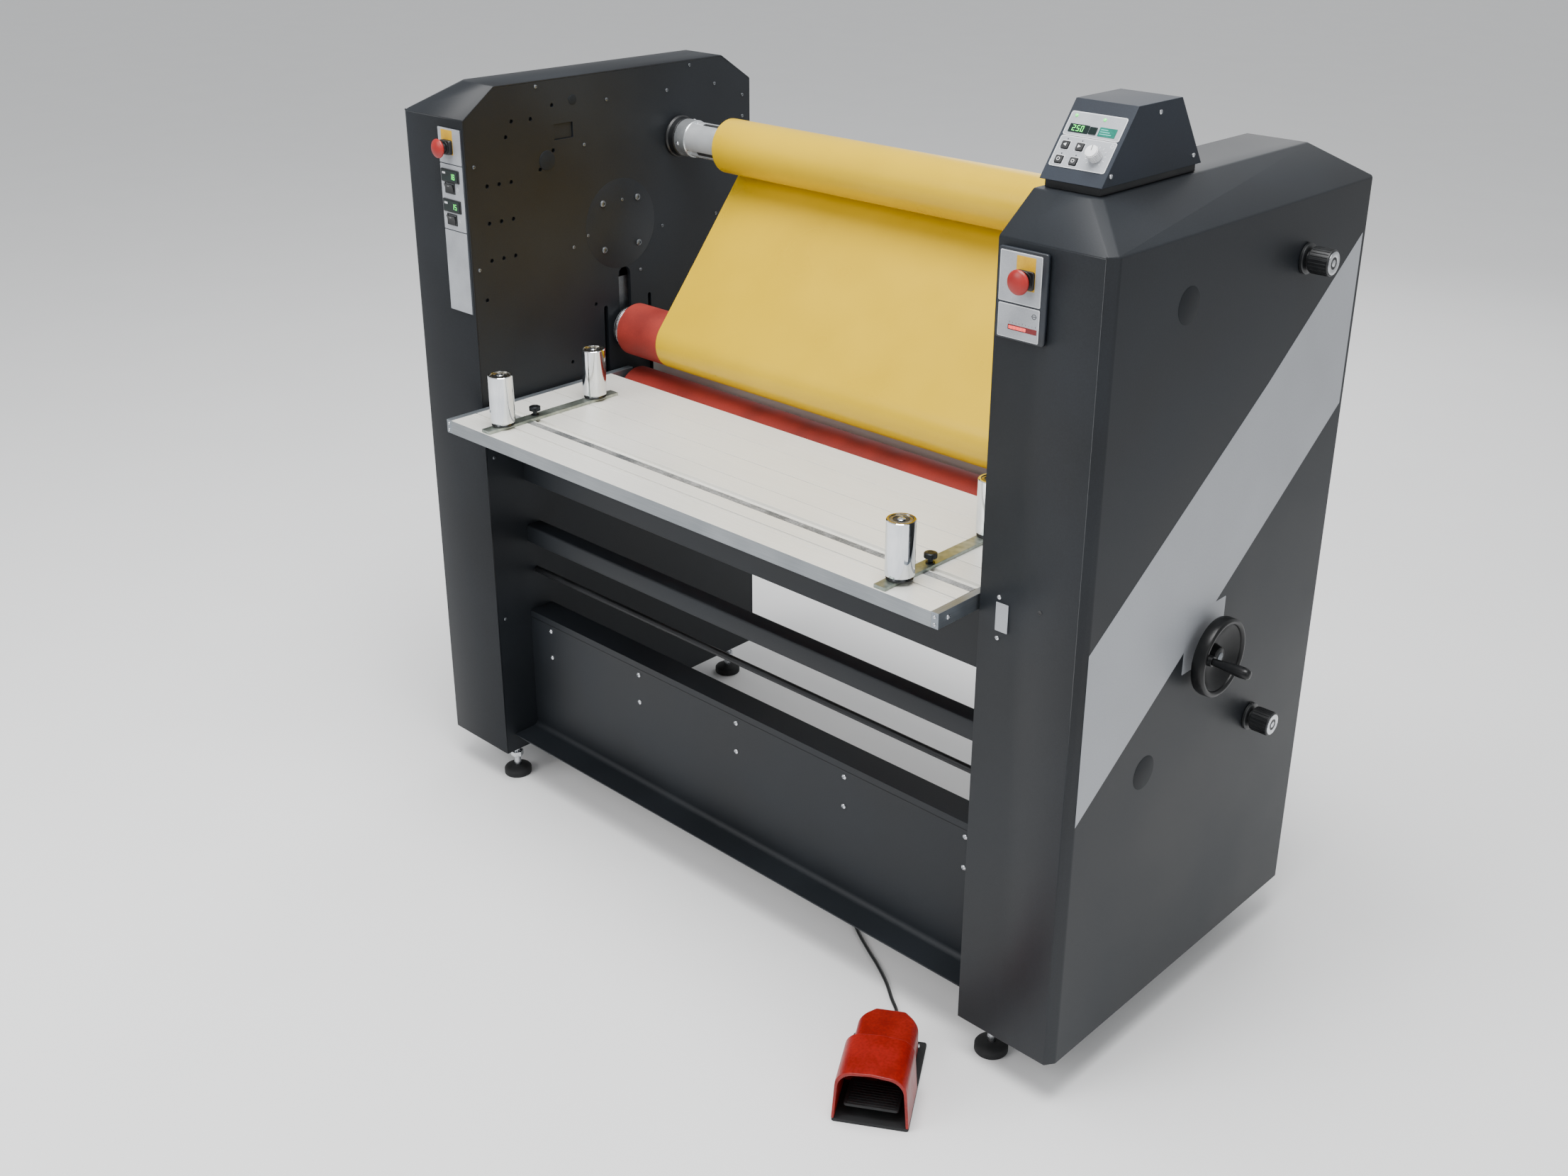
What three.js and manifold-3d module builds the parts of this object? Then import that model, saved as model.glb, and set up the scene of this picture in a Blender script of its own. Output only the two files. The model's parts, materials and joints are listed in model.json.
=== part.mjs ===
// A cold roll laminator for sign making, in millimetres. +Z is up, -Y is the operator's side, and the
// origin is on the floor, under the middle of the machine's bounding box. Inside the group every piece is
// placed from the machine's own middle plane, and the group is moved once at the end.
import * as THREE from "three";
import { ConvexGeometry } from "three/addons/geometries/ConvexGeometry.js";
import { mergeVertices } from "three/addons/utils/BufferGeometryUtils.js";
import Module from "manifold-3d";

// ---- driving dimensions ----
const inner = 650; // half the free width between the cabinets
const cabinetWidth = 200;
const cabinetDepth = 790;
const cabinetBottom = 85;
const cabinetTop = 1562;
const controlWidth = 110; // the control box on the right cabinet
const topRise = 58; // height of the sloped edges round the top
const frontRun = 80;
const backRun = 88;
const sideRun = cabinetWidth - controlWidth - 3; // leaves a flat top for the control box
const frontBevel = { x: 12, y: 18 };
const backBevel = 8;
const sheet = 3;
const plate = 10; // inner side plates
const gap = 0.3; // between pieces that touch
const half = inner + cabinetWidth;
const deep = cabinetDepth / 2;

const tableTop = 919;
const tableThickness = 28;
const tableReach = 95; // past the cabinets, to the front and to the rear
const tableHalf = inner - 8;
const railWidth = 15;

const rollerRadius = 57;
const rollerHalf = inner - 33;
const rollerCore = 50;
const journal = 15;
const collarLength = 23;
const collar = { upper: 46, lower: 22 }; // radii
const rollerY = 5;
const nipOpen = 30; // free height between the rollers at rest
const nipDown = 29;
const lowerZ = tableTop + 2 - rollerRadius; // the lower roller stands 2 above the table
const upperZ = lowerZ + 2 * rollerRadius + nipOpen;

const slot = { clear: 4, top: upperZ + 134 }; // slot that the upper roller's journal runs in
const guideSlots = [
  { y: rollerY - 56, width: 11, top: upperZ + 57 },
  { y: rollerY + 71, width: 9, top: upperZ + 62 },
];
const recess = { front: -170, back: -120, bottom: cabinetTop - 124, top: cabinetTop - 92 };

const supplyY = 178;
const supplyZ = cabinetTop - 160;
const filmRadius = 57.5;
const filmHalf = 490;
const coreBore = 38;
const shaftRadius = coreBore - gap;
const hubRadius = 45;
const hubLength = 50;
const webThickness = 0.5;
const webPastNip = 25; // degrees that the cut end clings past the roller's lowest line

const rollerClear = 12; // between a table's edge and the lower roller
const infeed = { front: -deep - tableReach, back: rollerY - rollerRadius - rollerClear, railBack: 0 };
const outfeed = { front: rollerY + rollerRadius + rollerClear, back: deep + tableReach };
const grooves = [
  // distance from the table's outer edge, width and depth
  { in: 63, width: 4, depth: 4 },
  { in: 124, width: 14, depth: 6 },
  { in: 183, width: 2, depth: 3 },
  { in: 260, width: 2, depth: 3 },
];
const outfeedGrooves = grooves.map((groove) => ({
  in: groove.in,
  width: Math.min(groove.width, 4),
  depth: Math.min(groove.depth, 4),
}));

const guideX = tableHalf - 125.5;
const guideBar = { width: 25, height: 6, front: infeed.front + 3, back: infeed.front + 340 };
const guideRoller = {
  x: guideX + 3.5,
  radius: 25,
  neck: 18,
  screw: 7,
  wall: 5,
  bottom: tableTop + 13,
  top: tableTop + 111,
  places: [infeed.front + 50, infeed.front + 290],
};
const thumbScrew = {
  x: guideX + 2.5,
  y: infeed.front + 130,
  stem: 5,
  head: 11.5,
  headBottom: tableTop + 16,
  top: tableTop + 25,
};

const beamFace = deep - 95;
const beamBottom = tableTop - 191;
const beamFlange = 40;
const tube = { size: 40, wall: 3, front: -beamFace, bottom: beamBottom - 146 };
const rod = { radius: 7, y: 20 - beamFace, z: beamBottom - 217 };
const panel = {
  face: -beamFace - 5,
  top: 418,
  bottom: cabinetBottom + 40,
  flange: 62,
  lip: 65,
  bend: 12,
};

const foot = {
  x: inner + 38,
  y: deep - 55,
  pad: 31,
  padHeight: 20,
  padBevel: 6,
  stem: 8,
  nut: 15,
  nutBottom: 45,
  nutTop: 57,
};

const box = {
  left: inner + 2,
  right: inner + 2 + controlWidth,
  front: 89 - deep,
  depth: 271,
  slopeRun: 82,
  backSlope: 71,
  bottom: cabinetTop + 14,
  top: cabinetTop + 121,
  plinthTop: cabinetTop + 12,
  plinthInset: 6,
  wall: 3,
};
const fascia = { left: box.left + 5, right: box.right - 7, low: 22, high: 113, thick: 1.2 };
const key = {
  size: 12,
  low: 1.3,
  high: 4.3,
  window: 13.2,
  across: [box.left + 19.5, box.left + 45],
  up: [33, 57],
};
const knob = { x: box.left + 78, s: 46, radius: 11, low: 1.8, high: 19.8 };

const rightPanel = {
  left: inner + 6,
  right: inner + 95,
  bottom: cabinetTop - 207,
  top: cabinetTop - 69,
  thick: 8,
};
const leftPanel = {
  left: -inner - 78,
  right: -inner - 2,
  bottom: cabinetTop - 447,
  top: cabinetTop - 76,
  thick: 3,
};
const stop = { collarX: 31, collarZ: 28, collarFront: 14, stem: 9, stemBack: 6, head: 19, headBack: 22.4 };
const stopFront = 35; // how far the mushroom heads stand proud of the cabinet
const stops = [
  { side: "right", x: inner + 58, z: cabinetTop - 112 },
  { side: "left", x: -inner - 47, z: cabinetTop - 113 },
];
const rocker = {
  x: -inner - 49,
  half: 13,
  rise: 8.5,
  back: 4.8,
  front: 9.5,
  heights: [cabinetTop - 194.5, cabinetTop - 258],
};

const wheel = { y: -22.6, z: 754, radius: 71, hub: 18, back: half + 12, rim: half + 50, dish: 22 };
const wheelHandle = { out: 55, angle: 162, radius: 10, base: half + 51, end: half + 120 };
const brake = { radius: 22, flange: 26, flangeEnd: half + 7, neck: 14, body: half + 12, end: half + 50 };
const brakes = [
  { name: "upper_brake_knob", y: supplyY, z: supplyZ },
  { name: "lower_brake_knob", y: 178.5, z: 544.5 },
];

const block = { near: inner + plate + 2, far: inner + plate + 42, half: 45, below: 45, above: 110 };
const screw = {
  radius: 10,
  bottom: upperZ + 50,
  top: cabinetTop - 142,
  shelf: cabinetTop - 182,
  shelfThick: 20,
  shelfHalf: 30,
};
const motor = { near: block.far + 4, far: half - 44, radius: 60, shaftEnd: half - 80 };

const pedal = {
  x: inner + 6.5,
  y: -640,
  turn: 31.3,
  width: 135,
  length: 225,
  base: 6,
  hood: 103,
  height: 112,
  wall: 5,
  rearWidth: 110,
  rearTop: 70,
  rearBevel: { x: 14, z: 18 },
};
// half width lost at each height of the hood's arch, as a share of its height
const archSteps = [
  { in: 7, share: 0.62 },
  { in: 20, share: 0.9 },
  { in: 36, share: 1 },
];
const treadle = {
  width: pedal.width - 39,
  length: pedal.hood - 19,
  thick: 6,
  hinge: pedal.hood - 11,
  z: pedal.base + 12,
  lift: 10,
};
const cable = {
  radius: 3.5,
  sides: 8,
  steps: 72,
  glandLength: 14,
  glandRadius: 11,
  glandHeight: pedal.base + 16,
  plateY: -60,
  plateZ: 150,
};

const wasm = await Module();
wasm.setup();
const machine = new THREE.Group();

// ---- materials ----
function finish(color, roughness, metalness = 0) {
  return new THREE.MeshStandardMaterial({ color, roughness, metalness });
}
const charcoal = finish(0x2f3438, 0.7);
const paleGrey = finish(0xa9abb0, 0.45, 0.3);
const black = finish(0x17181a, 0.5);
const steel = finish(0xb8bcc0, 0.3, 1);
const chrome = finish(0xdfe2e5, 0.12, 1);
const zinc = finish(0xaab0ae, 0.4, 0.9);
const aluminium = finish(0xb9bdb9, 0.4, 0.9);
const redRubber = finish(0x8e2620, 0.7);
const redPaint = finish(0xb0231b, 0.5);
const redPlastic = finish(0xc0392f, 0.5);
const yellowFilm = finish(0xd8b012, 0.35);
const whitePlastic = finish(0xd9dadb, 0.4);

// ---- shapes ----
// A closed geometry as a manifold-3d solid, with its shared vertices merged.
function solid(geometry) {
  const bare = geometry.index ? geometry.toNonIndexed() : geometry.clone();
  bare.deleteAttribute("normal");
  bare.deleteAttribute("uv");
  const merged = mergeVertices(bare, 1e-4);
  return new wasm.Manifold(
    new wasm.Mesh({
      numProp: 3,
      vertProperties: merged.attributes.position.array,
      triVerts: new Uint32Array(merged.index.array),
    }),
  );
}

function geometryOf(made) {
  const { vertProperties, triVerts } = made.getMesh();
  const geometry = new THREE.BufferGeometry();
  geometry.setAttribute("position", new THREE.BufferAttribute(vertProperties, 3));
  geometry.setIndex(new THREE.BufferAttribute(triVerts, 1));
  return geometry;
}

function add(name, geometry, material, parent = machine) {
  const mesh = new THREE.Mesh(geometry.isBufferGeometry ? geometry : geometryOf(geometry), material);
  mesh.name = name;
  parent.add(mesh);
  return mesh;
}

function boxOf(x0, x1, y0, y1, z0, z1) {
  const geometry = new THREE.BoxGeometry(x1 - x0, y1 - y0, z1 - z0);
  return geometry.translate((x0 + x1) / 2, (y0 + y1) / 2, (z0 + z1) / 2);
}

// A closed outline of [y, z] points, extruded from x0 to x1.
function alongX(outline, x0, x1) {
  const shape = new THREE.Shape(outline.map(([y, z]) => new THREE.Vector2(y, z)));
  const geometry = new THREE.ExtrudeGeometry(shape, { depth: x1 - x0, bevelEnabled: false });
  const turn = new THREE.Matrix4().makeBasis(
    new THREE.Vector3(0, 1, 0),
    new THREE.Vector3(0, 0, 1),
    new THREE.Vector3(1, 0, 0),
  );
  return geometry.applyMatrix4(turn).translate(x0, 0, 0);
}

// A closed outline of [x, z] points, extruded from y0 to y1.
function alongY(outline, y0, y1) {
  const shape = new THREE.Shape(outline.map(([x, z]) => new THREE.Vector2(x, z)));
  const geometry = new THREE.ExtrudeGeometry(shape, { depth: y1 - y0, bevelEnabled: false });
  return geometry.rotateX(Math.PI / 2).translate(0, y1, 0);
}

// A turned shape: [radius, distance along the axis] points, from one end to the other.
function turned(profile, axis, sides = 32) {
  const points = profile.map(([r, along]) => new THREE.Vector2(r, along));
  const geometry = new THREE.LatheGeometry(points, sides);
  if (axis === "x") return geometry.rotateZ(-Math.PI / 2);
  if (axis === "z") return geometry.rotateX(Math.PI / 2);
  return geometry;
}

function rodAlong(axis, radius, from, to, sides = 32) {
  return turned([[0, from], [radius, from], [radius, to], [0, to]], axis, sides);
}

function ringAlong(axis, bore, radius, from, to, sides = 48) {
  const profile = [[bore, from], [radius, from], [radius, to], [bore, to], [bore, from]];
  return turned(profile, axis, sides);
}

// ---- side cabinets ----
// How far a sloped edge of this run and rise moves in when the whole shape shrinks by one wall.
function slopeInset(run, rise, wall) {
  const hypotenuse = Math.hypot(run, rise);
  return { top: ((hypotenuse - run) / rise) * wall, side: ((hypotenuse - rise) / run) * wall };
}

// Side view of a cabinet as [y, z] points, shrunk by a wall on every side.
function sideOutline(wall) {
  const front = slopeInset(frontRun, topRise, wall);
  const back = slopeInset(backRun, topRise, wall);
  const shoulder = cabinetTop - topRise;
  return [
    [-deep + wall, cabinetBottom + wall],
    [deep - wall, cabinetBottom + wall],
    [deep - wall, shoulder - back.side],
    [deep - backRun + back.top, cabinetTop - wall],
    [-deep + frontRun - front.top, cabinetTop - wall],
    [-deep + wall, shoulder - front.side],
  ];
}

// The cabinet's convex body, with bevelled upright corners and three sloped top edges.
function cabinetBody(side, wall, innerFace) {
  const outline = sideOutline(wall);
  const [floorZ, shoulderBack, topZ, shoulderFront] = [0, 2, 3, 5].map((i) => outline[i][1]);
  const slope = slopeInset(sideRun, topRise, wall);
  const outer = half - wall;
  const outerTop = half - sideRun - slope.top;
  const front = outline[0][0];
  const back = outline[1][0];
  const share = outline[4][0] - front;
  const topFront = outline[4][0];
  const topBack = outline[3][0];
  const points = [];
  for (const [z, zBack] of [[floorZ, floorZ], [shoulderFront, shoulderBack]]) {
    points.push([innerFace, front, z], [outer - frontBevel.x, front, z], [outer, front + frontBevel.y, z]);
    points.push([innerFace, back, zBack], [outer - backBevel, back, zBack], [outer, back - backBevel, zBack]);
  }
  const narrow = 1 - share / deep;
  points.push([innerFace, topFront, topZ], [outerTop - frontBevel.x * narrow, topFront, topZ]);
  points.push([outerTop, topFront + frontBevel.y * narrow, topZ]);
  points.push([innerFace, topBack, topZ], [outerTop - backBevel * narrow, topBack, topZ]);
  points.push([outerTop, topBack - backBevel * narrow, topZ]);
  return new ConvexGeometry(points.map(([x, y, z]) => new THREE.Vector3(side * x, y, z)));
}

function slotOutline(y, width, bottom, top) {
  const arc = [];
  for (let i = 0; i <= 8; i++) {
    const angle = (Math.PI * i) / 8;
    arc.push([y + (width / 2) * Math.cos(angle), top - width / 2 + (width / 2) * Math.sin(angle)]);
  }
  return [[y - width / 2, bottom], [y + width / 2, bottom], ...arc];
}

function addCabinet(name, side) {
  const cover = solid(cabinetBody(side, 0, inner)).subtract(solid(cabinetBody(side, sheet, inner - 1)));
  add(`${name}_cover`, cover, charcoal);
  const from = side > 0 ? inner : -inner - plate;
  const to = from + plate;
  const past = plate + 1;
  const cut = (outline) => solid(alongX(outline, from - past, to + past));
  const slotWidth = 2 * journal + slot.clear;
  let made = solid(alongX(sideOutline(sheet + gap), from, to))
    .subtract(cut(slotOutline(rollerY, slotWidth, upperZ - nipDown - slotWidth / 2, slot.top)))
    .subtract(solid(boxOf(from - past, to + past, recess.front, recess.back, recess.bottom, recess.top)));
  for (const { y, width, top } of guideSlots) made = made.subtract(cut(slotOutline(y, width, lowerZ, top)));
  const bore = rodAlong("x", journal + gap, from - past, to + past);
  made = made.subtract(solid(bore.translate(0, rollerY, lowerZ)));
  const hubFrom = side > 0 ? inner - hubLength : -inner - 1;
  const hub = rodAlong("x", hubRadius, hubFrom, hubFrom + hubLength + 1, 40);
  made = made.add(solid(hub.translate(0, supplyY, supplyZ)));
  const shelfFrom = side > 0 ? to - 1 : -block.far - 3;
  const shelf = solid(
    boxOf(
      shelfFrom,
      shelfFrom + block.far + 4 - inner - plate,
      rollerY - screw.shelfHalf,
      rollerY + screw.shelfHalf,
      screw.shelf,
      screw.shelf + screw.shelfThick,
    ),
  );
  const screwX = side * ((block.near + block.far) / 2);
  const screwBore = rodAlong("z", screw.radius + gap, screw.shelf - 1, screw.shelf + screw.shelfThick + 1);
  made = made.add(shelf).subtract(solid(screwBore.translate(screwX, rollerY, 0)));
  if (side > 0) {
    const gland = rodAlong("x", cable.glandRadius, inner - cable.glandLength, inner + 1, 16);
    made = made.add(solid(gland.translate(0, cable.plateY, cable.plateZ)));
  }
  add(`${name}_side_plate`, made, charcoal);
  const lift = rodAlong("z", screw.radius, screw.bottom, screw.top, 20);
  add(`${name}_lift_screw`, lift.translate(screwX, rollerY, 0), steel);
  addBearingBlock(name, side, screwX);
  addFoot(`${name}_front_foot`, side * foot.x, -foot.y);
  addFoot(`${name}_rear_foot`, side * foot.x, foot.y);
}

function addBearingBlock(name, side, screwX) {
  const from = side > 0 ? block.near : -block.far;
  const to = from + block.far - block.near;
  const [front, back] = [rollerY - block.half, rollerY + block.half];
  const body = boxOf(from, to, front, back, upperZ - block.below, upperZ + block.above);
  const journalBore = rodAlong("x", journal + gap, from - 1, to + 1).translate(0, rollerY, upperZ);
  const boreBottom = screw.bottom - nipOpen - 1;
  const nutBore = rodAlong("z", screw.radius + gap, boreBottom, upperZ + block.above + 1);
  const made = solid(body)
    .subtract(solid(journalBore))
    .subtract(solid(nutBore.translate(screwX, rollerY, 0)));
  add(`${name}_bearing_block`, made, steel);
}

function addFoot(name, x, y) {
  const { pad, padHeight, padBevel, stem, nut, nutBottom, nutTop } = foot;
  const profile = [
    [0, 0],
    [pad, 0],
    [pad, padHeight - padBevel],
    [pad - padBevel - 2, padHeight],
    [stem, padHeight],
    [stem, nutBottom],
    [nut, nutBottom],
    [nut, nutTop],
    [stem, nutTop],
    [stem, cabinetBottom - gap],
    [0, cabinetBottom - gap],
  ];
  add(name, turned(profile, "z", 20).translate(x, y, 0), black);
}

// ---- rollers, supply shaft and film ----
function addRoller(name, z, rightEnd) {
  const end = rollerHalf + collarLength;
  const left = block.far - gap - 1;
  const profile = [
    [0, -left],
    [journal, -left],
    [journal, -end],
    [collar[name], -end],
    [collar[name], -rollerHalf],
    [rollerCore, -rollerHalf],
    [rollerCore, rollerHalf],
    [collar[name], rollerHalf],
    [collar[name], end],
    [journal, end],
    [journal, rightEnd],
    [0, rightEnd],
  ];
  add(`${name}_roller_shaft`, turned(profile, "x", 28).translate(0, rollerY, z), steel);
  const sleeve = ringAlong("x", rollerCore + gap, rollerRadius, -rollerHalf, rollerHalf);
  add(`${name}_roller_sleeve`, sleeve.translate(0, rollerY, z), redRubber);
}

function addSupply() {
  const end = inner - hubLength - gap;
  const shaft = rodAlong("x", shaftRadius, -end, end, 48);
  add("supply_shaft", shaft.translate(0, supplyY, supplyZ), steel);
  const roll = ringAlong("x", coreBore, filmRadius, -filmHalf, filmHalf);
  add("film_roll", roll.translate(0, supplyY, supplyZ), yellowFilm);
}

// The film's path as seen along X: straight from the supply roll's rear underside to the front of the
// upper roller, then round its front and underside to the cut end.
function webPath(offset) {
  const nearRadius = rollerRadius + gap + offset;
  const farRadius = filmRadius + gap + webThickness - offset;
  const away = Math.hypot(supplyY - rollerY, supplyZ - upperZ);
  const lean = Math.atan2(supplyY - rollerY, supplyZ - upperZ) + Math.asin((nearRadius + farRadius) / away);
  const normal = [-Math.cos(lean), Math.sin(lean)];
  const points = [[supplyY - farRadius * normal[0], supplyZ - farRadius * normal[1]]];
  const first = Math.atan2(normal[1], normal[0]);
  const last = (3 / 2) * Math.PI + THREE.MathUtils.degToRad(webPastNip);
  const steps = 20;
  for (let i = 0; i <= steps; i++) {
    const angle = first + ((last - first) * i) / steps;
    points.push([rollerY + nearRadius * Math.cos(angle), upperZ + nearRadius * Math.sin(angle)]);
  }
  return points;
}

function addWeb() {
  const outline = [...webPath(0), ...webPath(webThickness).reverse()];
  add("film_web", alongX(outline, -filmHalf, filmHalf), yellowFilm);
}

function addMotor() {
  const body = rodAlong("x", motor.radius, motor.near, motor.far, 40);
  const bore = rodAlong("x", journal + gap, motor.near - 1, motor.shaftEnd + 2);
  add("drive_motor", solid(body).subtract(solid(bore)), black).position.set(0, rollerY, lowerZ);
}

// ---- tables and guides ----
function grooved(slab, places, edge) {
  const way = edge < 0 ? 1 : -1;
  return places.reduce((made, groove) => {
    const y = edge + way * groove.in;
    const [front, back] = [y - groove.width / 2, y + groove.width / 2];
    const low = tableTop - groove.depth;
    return made.subtract(solid(boxOf(-tableHalf - 1, tableHalf + 1, front, back, low, tableTop + 1)));
  }, solid(slab));
}

function addTables() {
  const low = tableTop - tableThickness;
  const slabHalf = tableHalf - railWidth - gap;
  const infeedSlab = boxOf(-slabHalf, slabHalf, infeed.front, infeed.back, low, tableTop);
  add("infeed_table", grooved(infeedSlab, grooves, infeed.front), aluminium);
  for (const [name, side] of [["left", -1], ["right", 1]]) {
    const from = side > 0 ? tableHalf - railWidth : -tableHalf;
    const rail = boxOf(from, from + railWidth, infeed.front, infeed.railBack, low, tableTop);
    add(`infeed_${name}_rail`, rail, aluminium);
  }
  const outfeedSlab = boxOf(-tableHalf, tableHalf, outfeed.front, outfeed.back, low, tableTop);
  add("outfeed_table", grooved(outfeedSlab, outfeedGrooves, outfeed.back), aluminium);
}

function addGuide(name, side) {
  const { width, height, front, back } = guideBar;
  const low = tableTop + gap;
  const centre = side * guideX;
  add(
    `${name}_guide_bar`,
    boxOf(centre - width / 2, centre + width / 2, front, back, low, low + height),
    zinc,
  );
  const { radius, neck, wall, bottom, top } = guideRoller;
  const barTop = low + height + gap;
  const rollerProfile = [
    [0, barTop],
    [neck, barTop],
    [neck, bottom],
    [radius - 1, bottom],
    [radius, bottom + 1],
    [radius, top - 1],
    [radius - 1, top],
    [radius - wall, top],
    [radius - wall, top - 4],
    [guideRoller.screw, top - 4],
    [guideRoller.screw, top + 1],
    [0, top + 1],
  ];
  guideRoller.places.forEach((y, i) => {
    const body = turned(rollerProfile, "z", 24).translate(side * guideRoller.x, y, 0);
    add(`${name}_${i ? "rear" : "front"}_guide_roller`, body, chrome);
  });
  const { stem, head, headBottom } = thumbScrew;
  const screwProfile = [
    [0, barTop],
    [stem, barTop],
    [stem, headBottom],
    [head, headBottom],
    [head, thumbScrew.top - 1.5],
    [head - 1.5, thumbScrew.top],
    [0, thumbScrew.top],
  ];
  const thumb = turned(screwProfile, "z", 24).translate(side * thumbScrew.x, thumbScrew.y, 0);
  add(`${name}_thumb_screw`, thumb, black);
}

// ---- cross members ----
function addCrossMembers() {
  const end = inner - gap;
  const high = tableTop - tableThickness - gap;
  for (const [name, way] of [["front", 1], ["rear", -1]]) {
    const depths = [0, beamFlange, beamFlange, sheet, sheet, beamFlange, beamFlange, 0];
    const heights = [
      beamBottom,
      beamBottom,
      beamBottom + sheet,
      beamBottom + sheet,
      high - sheet,
      high - sheet,
      high,
      high,
    ];
    const outline = depths.map((depth, i) => [way * (depth - beamFace), heights[i]]);
    if (way < 0) outline.reverse();
    add(`${name}_table_beam`, alongX(outline, -end, end), charcoal);
  }
  const { size, wall, front, bottom } = tube;
  const bar = boxOf(-end, end, front, front + size, bottom, bottom + size);
  const hollow = boxOf(-inner, inner, front + wall, front + size - wall, bottom + wall, bottom + size - wall);
  add("cross_tube", solid(bar).subtract(solid(hollow)), charcoal);
  add("cross_rod", rodAlong("x", rod.radius, -end, end, 16).translate(0, rod.y, rod.z), black);
  add("lower_panel", alongX(panelOutline(), -end, end), charcoal);
}

// Folded sheet: a flange to the rear on top, the upright face, and a lip to the front with a round fold.
function panelOutline() {
  const { face, top, bottom, flange, lip, bend } = panel;
  const foldSteps = 4;
  const fold = (radius) => {
    const arc = [];
    for (let i = 0; i <= foldSteps; i++) {
      const angle = ((Math.PI / 2) * i) / foldSteps;
      arc.push([face - bend + radius * Math.cos(angle), bottom + bend + sheet - radius * Math.sin(angle)]);
    }
    return arc;
  };
  return [
    [face, top],
    ...fold(bend),
    [face - lip, bottom + sheet],
    [face - lip, bottom],
    ...fold(bend + sheet).reverse(),
    [face + sheet, top - sheet],
    [face + flange, top - sheet],
    [face + flange, top],
  ];
}

// ---- control box ----
function addControlBox() {
  const { left, right, front, depth, slopeRun, backSlope, bottom, top, plinthTop, plinthInset, wall } = box;
  const low = cabinetTop + gap;
  const back = front + depth;
  const topFront = front + slopeRun;
  const topBack = back - backSlope;
  const outline = [
    [front + plinthInset, low],
    [back - plinthInset, low],
    [back - plinthInset, plinthTop],
    [back, bottom],
    [topBack, top],
    [topFront, top],
    [front, bottom],
    [front + plinthInset, plinthTop],
  ];
  const lean = Math.atan2(top - bottom, slopeRun);
  const side = wall / Math.sin(lean);
  const inside = [
    [front + plinthInset + wall, low - 1],
    [back - plinthInset - wall, low - 1],
    [back - plinthInset - wall, bottom],
    [topBack - wall / 2, top - wall],
    [topFront + side - wall / Math.tan(lean), top - wall],
    [front + plinthInset + wall, bottom],
  ];
  const hollow = solid(alongX(inside, left + wall, right - wall));
  const housing = solid(alongX(outline, left, right)).subtract(hollow);
  add("control_housing", housing, charcoal);

  // The sloped face as a group: x across, y up the slope and z out of the face.
  const face = new THREE.Group();
  face.position.set(0, front, bottom);
  face.rotation.x = lean;
  machine.add(face);
  let cover = solid(boxOf(fascia.left, fascia.right, fascia.low, fascia.high, gap, gap + fascia.thick));
  const reach = key.window / 2;
  key.up.forEach((s, row) =>
    key.across.forEach((x, column) => {
      cover = cover.subtract(solid(boxOf(x - reach, x + reach, s - reach, s + reach, 0, key.high)));
      const cap = boxOf(
        x - key.size / 2,
        x + key.size / 2,
        s - key.size / 2,
        s + key.size / 2,
        key.low,
        key.high,
      );
      add(`${row ? "upper" : "lower"}_${column ? "right" : "left"}_key`, cap, black, face);
    }),
  );
  add("control_fascia", cover, paleGrey, face);
  const profile = [
    [0, knob.low],
    [knob.radius, knob.low],
    [knob.radius - 1, knob.high - 1],
    [knob.radius - 2, knob.high],
    [0, knob.high],
  ];
  add("speed_knob", turned(profile, "z", 32).translate(knob.x, knob.s, 0), whitePlastic, face);
}

// ---- front panels ----
function addFrontPanels() {
  const front = -deep;
  const panels = { right: rightPanel, left: leftPanel };
  for (const { side, x, z } of stops) {
    const { left, right, bottom, top, thick } = panels[side];
    const collarFront = front - stop.collarFront;
    const collar = boxOf(
      x - stop.collarX / 2,
      x + stop.collarX / 2,
      collarFront,
      front - thick + 1,
      z - stop.collarZ / 2,
      z + stop.collarZ / 2,
    );
    const well = rodAlong("y", stop.stem + gap, collarFront - 1, front - 1, 24).translate(x, 0, z);
    const made = solid(boxOf(left, right, front - thick, front - gap, bottom, top))
      .add(solid(collar))
      .subtract(solid(well));
    add(`${side}_front_panel`, made, paleGrey);
    const headBack = front - stop.headBack;
    const stem = rodAlong("y", stop.stem, headBack + gap, front - stop.stemBack, 24);
    add(`${side}_stop_stem`, stem.translate(x, 0, z), black);
    const face = front - stopFront;
    const profile = [
      [0, face],
      [stop.head * 0.6, face + 1],
      [stop.head - 1.5, face + 3.5],
      [stop.head, face + 6],
      [stop.head - 1, face + 9],
      [stop.head - 6, headBack],
      [0, headBack],
    ];
    add(`${side}_stop_head`, turned(profile, "y", 24).translate(x, 0, z), redPlastic);
  }
  rocker.heights.forEach((z, i) => {
    const body = boxOf(
      rocker.x - rocker.half,
      rocker.x + rocker.half,
      front - rocker.front,
      front - rocker.back,
      z - rocker.rise,
      z + rocker.rise,
    );
    add(`${i ? "lower" : "upper"}_rocker_switch`, body, black);
  });
}

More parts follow.
